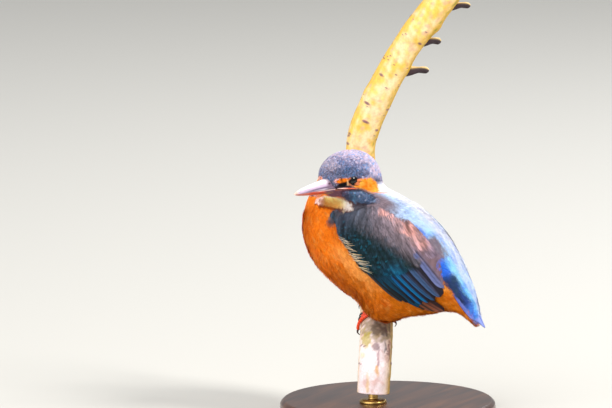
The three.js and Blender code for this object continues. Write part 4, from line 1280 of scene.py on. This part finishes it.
def lay_wing(name, shape, along, rise, angle, length, half_width, dice, sink=0.7, lift=0.1,
             paint=None):
    """Feathers on both wings. In the chord plane a point is root + s * length along the
    feather's angle + a * half width across it, and it stands sink * (1 - s^0.8) mm under the
    wing's outer face, plus lift * s^2."""
    s, a, _, strand = shape
    length, half_width = (np.broadcast_to(size, along.shape) for size in (length, half_width))
    heading = np.stack([np.cos(angle), np.sin(angle)], -1)
    run = s * length[:, None]
    over = a * half_width[:, None]
    at_along = along[:, None] + run * heading[:, :1] - over * heading[:, 1:]
    at_rise = rise[:, None] + run * heading[:, 1:] + over * heading[:, :1]
    height = lift * dice.uniform(0.3, 1.3, (len(along), 1)) * s**2 - sink * (1 - s**0.8)
    height = height - 0.1 * a**2 - 0.1 * dice.uniform(0, 1, (len(along), 1))
    points = wing_place(at_along, at_rise, 1.0, height)
    tip_along = along + 0.7 * length * heading[:, 0]
    tip_rise = rise + 0.7 * length * heading[:, 1]
    tint = (paint or wing_paint)(tip_along, tip_rise, dice)
    # Painted shade: each feather is darker towards its root.
    tint = tint[:, None] * (0.7 + 0.35 * s)[:, None]
    tint = tint * dice.uniform(0.6, 1.5, (len(along), strand.max() + 1))[:, strand, None]
    if paint is None:
        tint = tint * wing_streaks(at_along, at_rise)[..., None]
        spotted = dice.uniform(0, 1, len(along)) < 0.05 * blend(7, 1, tip_rise - 0.1 * tip_along)
        spot_share = blend(0.7, 0.85, s) * spotted[:, None] * dice.uniform(0.3, 1, (len(along), 1))
        tint = layered(tint, (*TEAL_SPOT, spot_share))
    spot = np.stack([(at_along.mean(1) + 2) / 80, (at_rise.mean(1) + 12) / 40], -1)
    for side_name, side in SIDES:
        coat_piece(f"{name}_{side_name}", shape, mirrored(points, side), tint, spot,
                   side)


# The bed is a closed slab from the wing's inner face to just under its outer one. It has the
# colours of the coverts at half brightness, as painted shade under them, and ends about where
# they do.
BED_STEPS = 40
bed_share = slice(int(WING_RINGS * 0.05), int(WING_RINGS * 0.72))
bed_step = np.linspace(0.03, 0.97, BED_STEPS)
bed_rise = (wing_low[:, None] + (wing_high - wing_low)[:, None] * bed_step)[bed_share]
bed_along = (wing_along[:, None] + 0 * bed_step)[bed_share]
bed_outer = wing_place(bed_along, bed_rise, 1.0, -0.75)
bed_inner = wing_place(bed_along, bed_rise, 0.0, -0.2)
bed_outer[..., 0] = np.maximum(bed_outer[..., 0], bed_inner[..., 0] + 0.25)
bed = np.concatenate([bed_outer, bed_inner[:, ::-1]], 1)
bed_tint = wing_paint(bed_along.ravel(), bed_rise.ravel(), np.random.default_rng(31))
bed_tint = np.concatenate([bed_tint.reshape(bed_outer.shape), bed_tint.reshape(bed_outer.shape)], 1)
for name, side in SIDES:
    bed_faces = [part[:, ::-side] for part in capped_tube(bed)]
    wing_bed = new_piece(f"wing_bed_{name}", on_stand(mirrored(bed, side)),
                         bed_faces, plumage, tint=bed_tint.reshape(-1, 3) * 0.5)
    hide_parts(f"wing_{name}")

wing_dice = np.random.default_rng(41)
COVERTS = 5200
# How far back along the wing the coverts reach, at each height.
COVERT_LIMIT = np.array([(-10, 33), (-6.6, 35.1), (0.3, 44.9), (5.6, 49.1), (13.1, 50.4),
                         (18.5, 54), (24, 49)])
order = np.arange(COVERTS) + 0.5
covert_along = order * PLASTIC_STEPS[0] % 1 * 55 - 3
covert_share = order * PLASTIC_STEPS[1] % 1
covert_low = np.interp(covert_along, wing_along, wing_low)
covert_high = np.interp(covert_along, wing_along, wing_high)
covert_rise = covert_low + (covert_high - covert_low) * (covert_share * 1.1 - 0.01)
upper_part = blend(9, 17, covert_rise - 0.1 * covert_along)
covert_angle = np.radians(-56 + 42 * blend(6, 46, covert_along))
covert_angle = covert_angle + (np.radians(-14) - covert_angle) * upper_part
covert_length = 4.2 + 3.4 * blend(4, 30, covert_along) + 2.5 * upper_part
covert_width = 0.75 + 0.35 * blend(4, 30, covert_along) + 0.25 * upper_part
tip_along = covert_along + covert_length * np.cos(covert_angle)
tip_rise = covert_rise + covert_length * np.sin(covert_angle)
inside = tip_along < np.interp(tip_rise, *COVERT_LIMIT.T) - wing_dice.uniform(0, 1.5, COVERTS)
inside = inside & (tip_rise > np.interp(tip_along, wing_along, wing_low) - 0.6)
kept = np.flatnonzero(inside)
lay_wing("wing_coverts", blades(4, 4), covert_along[kept], covert_rise[kept],
         covert_angle[kept] + np.radians(wing_dice.normal(0, 5, len(kept))),
         covert_length[kept], covert_width[kept], wing_dice)

# Longer shoulder feathers, whose soft tips end the grey upper part of the wing.
shoulder_along = np.array([14, 18, 22, 26, 30, 33, 37, 39, 40, 38, 36, 34, 40, 42])
shoulder_rise = np.array([20, 21, 22, 22.5, 22.5, 21.5, 21, 18.5, 20.5, 15.5, 13, 17.5, 15.5, 22])
shoulder_count = 5 * len(shoulder_along)
shoulder_along = np.repeat(shoulder_along, 5) + wing_dice.normal(0, 1.4, shoulder_count)
shoulder_rise = np.repeat(shoulder_rise, 5) + wing_dice.normal(0, 0.7, shoulder_count)
shoulder_lie = -9 - 10 * blend(22, 14, shoulder_rise) + wing_dice.normal(0, 3, shoulder_count)
lay_wing("wing_shoulder", blades(7, 6), shoulder_along, shoulder_rise, np.radians(shoulder_lie),
         11.5, 1.9, wing_dice, sink=0.5, lift=0.35)

# Flight feathers: root, middle and tip on the chord plane, half width, place in the stack
# from the inner face to the outer, and colours of the broad and of the lower vane. The lilac
# grey of the top broad vanes is a painted sheen.
FLIGHT = [
    ((34, 18), (52, 15.2), (65.5, 9.3), 3.4, 0.92, (102, 92, 114), (94, 102, 146)),
    ((33, 13), (52, 9.4), (66.8, 4.7), 3.1, 0.84, (70, 74, 104), (58, 82, 120)),
    ((32, 8.5), (52, 4.7), (65.6, 1.6), 2.3, 0.76, (50, 64, 96), (40, 80, 122)),
    ((32, 5.5), (51, 1.7), (63.8, -1.4), 2.1, 0.68, (26, 50, 84), (8, 98, 150)),
    ((30, 2.5), (49, -1.2), (61.6, -4.3), 1.9, 0.6, (16, 40, 66), (4, 88, 146)),
    ((28, -0.5), (46, -3.5), (58.8, -6.3), 1.9, 0.52, (10, 20, 28), (6, 52, 76)),
    ((25, -3), (43, -5.8), (55.8, -7.9), 1.7, 0.44, (16, 20, 22), (22, 36, 42)),
    ((22, -5), (40, -7.9), (53.2, -9.2), 1.5, 0.36, (26, 28, 26), (54, 56, 58)),
    ((40, 2), (56, -1), (71.8, -1.5), 2.2, 0.3, FEATHER_BROWN, (84, 50, 42)),
    ((39, 1), (55, -2), (70.3, -2.7), 2.2, 0.25, FEATHER_BROWN, FEATHER_BROWN),
    ((38, 0), (54, -3), (68.6, -3.8), 2.2, 0.2, FEATHER_BROWN, (56, 40, 32)),
    ((37, -1), (53, -4), (66.6, -4.9), 2.1, 0.15, (60, 44, 36), FEATHER_BROWN),
    ((36, -2), (52, -5), (64.2, -6), 2.0, 0.1, (40, 32, 26), (56, 44, 34))]
TOP_GAP = (112, 88, 94)  # only soft shoulder feathers lie over the top one
VANE_ROWS = 30
VANE_COLUMNS = 15
vane_s = np.linspace(0, 1, VANE_ROWS)[:, None]
vane_a = np.linspace(-1, 1, VANE_COLUMNS)


def vane_width(half_width, point=7.0):
    """Half width along a vane: it opens from the root and rounds off as (1 - s^point)^0.5."""
    return half_width * (0.5 + 0.5 * blend(0, 0.3, vane_s)) * np.sqrt(1 - vane_s**point * 0.998)


def vane_section(upper, lower):
    """Closed rings round a thin vane from its two faces, and likewise for their colours."""
    return np.concatenate([upper, lower[:, ::-1]], 1)


def strip_map(count):
    """Map places of count vanes: strips side by side, each with its root at the bottom."""
    across = np.linspace(0.04, 0.96, 2 * VANE_COLUMNS) + 0 * vane_s
    strips = [np.stack([(number + across) / count, 0.02 + 0.96 * vane_s + 0 * across], -1)
              for number in range(count)]
    return np.concatenate(strips).reshape(-1, 2)


def vane_tint(broad, narrow, gap, dice):
    """Colours over a vane, from display colours: the broad vane above the shaft, the narrow one
    below it with a brighter edge and a dark streak, a dark shaft, and the gap colour in the
    shade of the feather above as painted shade; faint slanting barbs, and painted shade
    darker towards the root."""
    broad, narrow = linear(*broad), linear(*narrow)
    tint = mix(broad, narrow, blend(0.1, -0.3, vane_a + 0 * vane_s))
    tint = mix(tint, narrow * 1.3, blend(-0.6, -0.9, vane_a + 0 * vane_s))
    tint = layered(tint, (*FEATHER_DARK, 0.7 * bell(vane_a, 0.08) * blend(1, 0.7, vane_s)))
    tint = mix(tint, narrow * 0.3, 0.55 * bell(vane_a + 0.42, 0.1) + 0 * vane_s)
    tint = layered(tint, (*gap, 0.92 * blend(0.02, 0.3, vane_a + 0 * vane_s)))
    barb = 1 + 0.12 * np.sin(46 * vane_s + 9 * np.abs(vane_a) + dice.uniform(0, 6))
    return tint * barb[..., None] * (0.75 + 0.35 * vane_s)[..., None]


flight_rings, flight_tints = [], []
for number, (root, middle, tip, half, share, broad, narrow) in enumerate(FLIGHT):
    root, middle, tip = np.array(root, float), np.array(middle, float), np.array(tip, float)
    handle = 2 * middle - (root + tip) / 2
    line = (1 - vane_s) ** 2 * root + 2 * vane_s * (1 - vane_s) * handle + vane_s**2 * tip
    heading = unit(np.gradient(line, axis=0))
    over = vane_a * vane_width(half) * np.where(vane_a > 0, 1.25, 0.85)
    at_along = line[:, :1] - over * heading[:, 1:]
    at_rise = line[:, 1:] + over * heading[:, :1]
    stack = share * (0.5 + 0.5 * blend(0, 0.35, vane_s)) - 0.03 * vane_a
    dome = 0.22 * (1 - vane_a**2) + 0.12 * bell(vane_a, 0.09) * (1 - vane_s)
    upper = wing_place(at_along, at_rise, stack, dome)
    lower = wing_place(at_along, at_rise, stack, dome * 0.8 - 0.16)
    flight_rings.append(vane_section(upper, lower))
    tint = vane_tint(broad, narrow, TOP_GAP if number == 0 else FEATHER_DARK, wing_dice)
    # Painted shade: the underside of each vane at half brightness.
    flight_tints.append(vane_section(tint, tint * 0.5).reshape(-1, 3))
flight_points, flight_faces = joined(flight_rings)
for name, side in SIDES:
    flight = new_piece(f"wing_flight_{name}", on_stand(mirrored(flight_points, side)),
                       [part[:, ::-side] for part in flight_faces], plumage,
                       {"OFBake": strip_map(len(FLIGHT))}, np.concatenate(flight_tints))

# Loose buff hairs of the flank feathers, combed back over the wing's front edge.
HAIRS = 44
fringe_along = np.linspace(8.5, 28.5, HAIRS) + wing_dice.normal(0, 0.8, HAIRS)
fringe_rise = np.interp(fringe_along, wing_along, wing_low) - wing_dice.uniform(-1.6, 1.0, HAIRS)


def fringe_paint(along, rise, dice):
    """Each hair at random between warm buff and greyish buff."""
    return mix(linear(255, 214, 160), linear(206, 200, 186), dice.uniform(0, 1, len(along)))


lay_wing("wing_fringe", blades(1, 8), fringe_along, fringe_rise,
         np.radians(wing_dice.normal(31, 9, HAIRS)), wing_dice.uniform(4.5, 8.5, HAIRS),
         0.07, wing_dice, sink=-0.3, lift=0.7, paint=fringe_paint)

# ---- Tail --------------------------------------------------------------------------------
# Twelve stiff feathers closed into a short narrow fan, the middle pair on top. Blue coverts
# lie over its root, and long orange ones close it below.
TAIL_VANES = 12
MIDDLE_VANE = (TAIL_VANES - 1) / 2
TAIL_HALF_WIDTH = smooth_rows([[6], [8], [8.4], [7.2], [5.2], [2.4]])
tail_length = np.linalg.norm(TAIL_TIP - TAIL_ROOT)
tail_rings, tail_tints = [], []
for number in range(TAIL_VANES):
    place = (number - MIDDLE_VANE) / MIDDLE_VANE
    share = vane_s * (1.0 - 0.17 * abs(place) ** 1.3)
    fan = TAIL_HALF_WIDTH(share[:, 0])
    x = place * (fan - 2.2).clip(0.4) + np.minimum(vane_width(2.5, 5.0), fan) * vane_a
    edge = (x / fan).clip(-1.1, 1.1)
    height = 0.62 - 0.95 * abs(place) - 1.6 * edge**2 * blend(0.05, 0.3, share) + 0.2 * (1 - vane_a**2)
    height = height + 0.15 * bell(vane_a, 0.09) * (1 - vane_s)
    flat = TAIL_ROOT + share[..., None] * tail_length * TAIL_AHEAD + x[..., None] * [1, 0, 0]
    upper = flat + height[..., None] * TAIL_UP
    tail_rings.append(vane_section(upper, flat + (height - 0.2)[..., None] * TAIL_UP))
    blue = mix(linear(122, 150, 226), linear(78, 86, 156), abs(place) ** 1.2)
    pale_lane = (0.5 - 0.4 * abs(place)) * bell(vane_a - 0.45, 0.35) + 0 * vane_s
    tint = layered(
        blue,
        (150, 166, 230, pale_lane),
        (130, 140, 214, 0.7 * blend(0.7, 0.95, vane_s) + 0 * vane_a),
        (*FEATHER_DARK, 0.7 * bell(vane_a, 0.1) + 0 * vane_s))
    tint = tint * (1 + 0.12 * np.sin(50 * vane_s + 9 * np.abs(vane_a)))[..., None]
    under_tint = np.broadcast_to(linear(64, 52, 52), tint.shape)
    tail_tints.append(vane_section(tint, under_tint).reshape(-1, 3))
tail_points, tail_faces = joined(tail_rings)
tail_piece = new_piece("tail_vanes", on_stand(tail_points), tail_faces, plumage,
                       {"OFBake": strip_map(TAIL_VANES)}, np.concatenate(tail_tints))
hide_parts("tail")

# ---- Feet, claws and legs ----------------------------------------------------------------
# Short red scaly legs. Three toes bend over the front of the branch, joined at their roots,
# and one grips behind. Each ends in a dark curved claw.
FEET = {"left": 0.163, "right": 0.206}  # shares of the branch's length
# Toes: name, offset along the branch, and degrees round it at the root, the end and the claw's tip.
TOES = {
    "left": [("inner", -1.9, 2, 96, 124), ("middle", 0, 2, 52, 80), ("outer", 1.9, 2, 46, 72),
             ("hind", -0.4, -2, -70, -96)],
    "right": [("inner", -1.9, 2, 34, 60), ("middle", 0, 2, 48, 76), ("outer", 1.9, 2, 42, 68),
              ("hind", -0.4, -2, -70, -96)]}
TOE_RADIUS = 1.05
CLAW_RADIUS = 0.7
SOLE_RADIUS = 1.45
SOLE_RINGS = 24
LEG_RADIUS = 1.1
LEG_TOP = {"left": np.array([7, 4, 13.0]), "right": np.array([-7, 4, 17.0])}


def over_bark(place, offset, degrees, height):
    """Points over the bark: offset along the branch, degrees round it from its top to the
    front, and a height over the bark's mean radius there."""
    row = int(round(place * (BRANCH_RINGS - 1)))
    along = branch_along[row]
    front = unit(np.cross([0, 0, 1.0], along))
    upward = np.cross(along, front)
    radius = branch_taper(place) + branch_swell[row] + 0.2 + height
    turn = np.radians(degrees)
    ring = np.multiply.outer(np.cos(turn) * radius, upward)
    return branch_line[row] + offset * along + ring + np.multiply.outer(np.sin(turn) * radius, front)


scaly = grained_material(
    "FootSkin", 0.42, 2400.0, [(0.1, 255, 255, 255), (0.7, 190, 150, 140)], bump=(0.35, 0.00015),
    tint_share=0.35, texture="ShaderNodeTexVoronoi", Coat_Weight=0.15, Coat_Roughness=0.3)
claw_horn = grained_material(
    "ClawHorn", 0.3, 1500.0, [(0.3, 24, 14, 14), (0.7, 70, 42, 38)], bump=(0.2, 0.0001),
    grain={"Detail": 3.0}, Coat_Weight=0.3, Coat_Roughness=0.2)
TOE_RED = linear(255, 74, 0)
TOE_DARK = linear(170, 44, 22)


def scutes(line, radius, count, sides):
    """Rings of a toe or shank: a tube whose outer side swells a little over each of count
    scales, and a darker tint in the joints between them."""
    def swelling(share, angle):
        ridge = np.abs(np.sin(np.pi * count * share)) ** 0.5
        return radius(share) * (1 + 0.07 * (ridge - 1) * (0.5 + 0.5 * np.cos(angle)))
    rings = tube(line, swelling, sides)
    t = np.linspace(0, 1, len(line))[:, None]
    joint = 1 - np.abs(np.sin(np.pi * count * t)) ** 0.5 + 0 * np.arange(sides)
    return rings, mix(TOE_RED, TOE_DARK, 0.8 * joint)


for name, place in FEET.items():
    foot_tubes, foot_tints, claw_tubes = [], [], []
    for _, offset, begin, end, point in TOES[name]:
        line = over_bark(place, offset, np.linspace(begin, end, 64), TOE_RADIUS * 0.95)
        rings, tint_here = scutes(
            line, lambda t: TOE_RADIUS * (1 - 0.22 * t + 0.07 * np.cos(4 * np.pi * t))
            * np.sqrt((1.03 - t) / 0.08).clip(0.3, 1), count=11, sides=20)
        foot_tubes.append(rings)
        foot_tints.append(tint_here.reshape(-1, 3))
        t = np.linspace(0, 1, 30)
        lift = CLAW_RADIUS + 0.9 * np.sin(np.pi * t)
        line = over_bark(place, offset, end - 3 * np.sign(end) + (point - end) * t, lift)
        claw_tubes.append(tube(line, lambda t, angle: CLAW_RADIUS + (0.1 - CLAW_RADIUS) * t
                               + 0 * angle, 16))
    heights = SOLE_RADIUS * (1 + 0.98 * np.linspace(-1, 1, SOLE_RINGS))
    pad = over_bark(place, 0, np.zeros(SOLE_RINGS), heights)
    rings, tint_here = scutes(pad, lambda t: SOLE_RADIUS * np.sqrt((1 - (2 * t - 1) ** 2).clip(0.03)),
                              count=3, sides=24)
    foot_tubes.append(rings)
    foot_tints.append(tint_here.reshape(-1, 3))
    foot_points, foot_faces = joined(foot_tubes)
    foot = new_piece(f"foot_skin_{name}", on_stand(foot_points), foot_faces, scaly,
                     tint=np.concatenate(foot_tints))
    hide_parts(f"foot_{name}")
    claw_points, claw_faces = joined(claw_tubes)
    claws = new_piece(f"claws_{name}", on_stand(claw_points), claw_faces, claw_horn)
    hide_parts(*[f"claw_{name}_{toe[0]}" for toe in TOES[name]])
    ankle = over_bark(place, 0, np.zeros(1), 2.0)[0]
    knee = (ankle + LEG_TOP[name]) / 2 + [0, 1, 0]
    line = even_line([ankle, knee, LEG_TOP[name]], 60)
    rings, tint_here = scutes(line, lambda t: LEG_RADIUS * (1 - 0.12 * np.sin(np.pi * t)),
                              count=9, sides=24)
    shank = new_piece(f"shank_{name}", on_stand(rings), capped_tube(rings),
                      scaly, tint=tint_here.reshape(-1, 3))
    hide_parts(f"leg_{name}")

# ---- Floor, light and camera -------------------------------------------------------------
# A plain pale level studio floor, three soft round lamps, and a long lens that looks at the
# left side of the bird from a little above and behind.
FLOOR_REACH = 3
FLOOR_STEPS = 25
floor_along = np.linspace(-FLOOR_REACH, FLOOR_REACH, FLOOR_STEPS)
floor_x, floor_y = np.meshgrid(floor_along, floor_along)
floor_points = np.stack([floor_x, floor_y, 0 * floor_x], -1).reshape(-1, 3)
floor_finish = new_material("PaleFloor", 0.9)
shader_of(floor_finish).inputs["Base Color"].default_value = (*linear(196, 194, 188), 1)
floor_mesh = bpy.data.meshes.new("studio_floor")
floor_mesh.from_pydata(floor_points.tolist(), [], grid_faces(FLOOR_STEPS, FLOOR_STEPS).tolist())
floor_mesh.materials.append(floor_finish)
studio_floor = bpy.data.objects.new("studio_floor", floor_mesh)
bpy.context.scene.collection.objects.link(studio_floor)

VIEW_AZIMUTH = np.radians(117)
VIEW_HEIGHT = np.radians(9)
VIEW_DISTANCE = 4.0
AIM_LEFT = 0.0418  # from the middle of the perch to the middle of the frame
AIM_UP = 0.0581
FRAME_WIDTH = 0.3121  # metres seen across the frame at the bird
SENSOR_WIDTH = 36
to_camera = np.array([np.sin(VIEW_AZIMUTH) * np.cos(VIEW_HEIGHT),
                      -np.cos(VIEW_AZIMUTH) * np.cos(VIEW_HEIGHT), np.sin(VIEW_HEIGHT)])
to_right = np.array([np.cos(VIEW_AZIMUTH), np.sin(VIEW_AZIMUTH), 0])
to_top = np.cross(to_camera, to_right)
aim = PERCH * MM - AIM_LEFT * to_right + AIM_UP * to_top


def turned_to(direction):
    """Turn of a camera or lamp at a direction from its target, level with the floor."""
    return Vector(direction).to_track_quat("Z", "Y").to_euler()


lens = bpy.data.cameras.new("studio_camera")
lens.sensor_width = SENSOR_WIDTH
lens.lens = SENSOR_WIDTH * VIEW_DISTANCE / FRAME_WIDTH
camera = bpy.data.objects.new("studio_camera", lens)
camera.location = aim + to_camera * VIEW_DISTANCE
camera.rotation_euler = turned_to(to_camera)
bpy.context.scene.collection.objects.link(camera)
bpy.context.scene.camera = camera


def soft_lamp(name, direction, distance, size, watts, colour):
    """A round lamp in a direction and at a distance from the middle of the frame, facing it."""
    light = bpy.data.lights.new(name, "AREA")
    light.shape = "DISK"
    light.size = size
    light.energy = watts
    light.color = colour
    lamp = bpy.data.objects.new(name, light)
    direction = unit(np.array(direction, float))
    lamp.location = aim + direction * distance
    lamp.rotation_euler = turned_to(direction)
    bpy.context.scene.collection.objects.link(lamp)


soft_lamp("key_lamp", to_camera * 0.35 + to_right * 0.7 + to_top * 0.65, 1.6, 0.55, 25, (1, 0.98, 0.95))
soft_lamp("fill_lamp", to_camera * 0.7 - to_right * 0.6 + to_top * 0.45, 2.2, 3.4, 73, (1, 0.99, 0.97))
soft_lamp("rim_lamp", -to_camera * 0.6 + to_right * 0.5 + to_top * 0.9, 1.6, 0.8, 12, (0.95, 0.97, 1))
world = bpy.data.worlds.new("studio_world")
world.use_nodes = True
world.node_tree.nodes["Background"].inputs["Color"].default_value = (0.9, 0.92, 0.95, 1)
world.node_tree.nodes["Background"].inputs["Strength"].default_value = 0.45
bpy.context.scene.world = world
bpy.context.scene.view_settings.view_transform = "Standard"
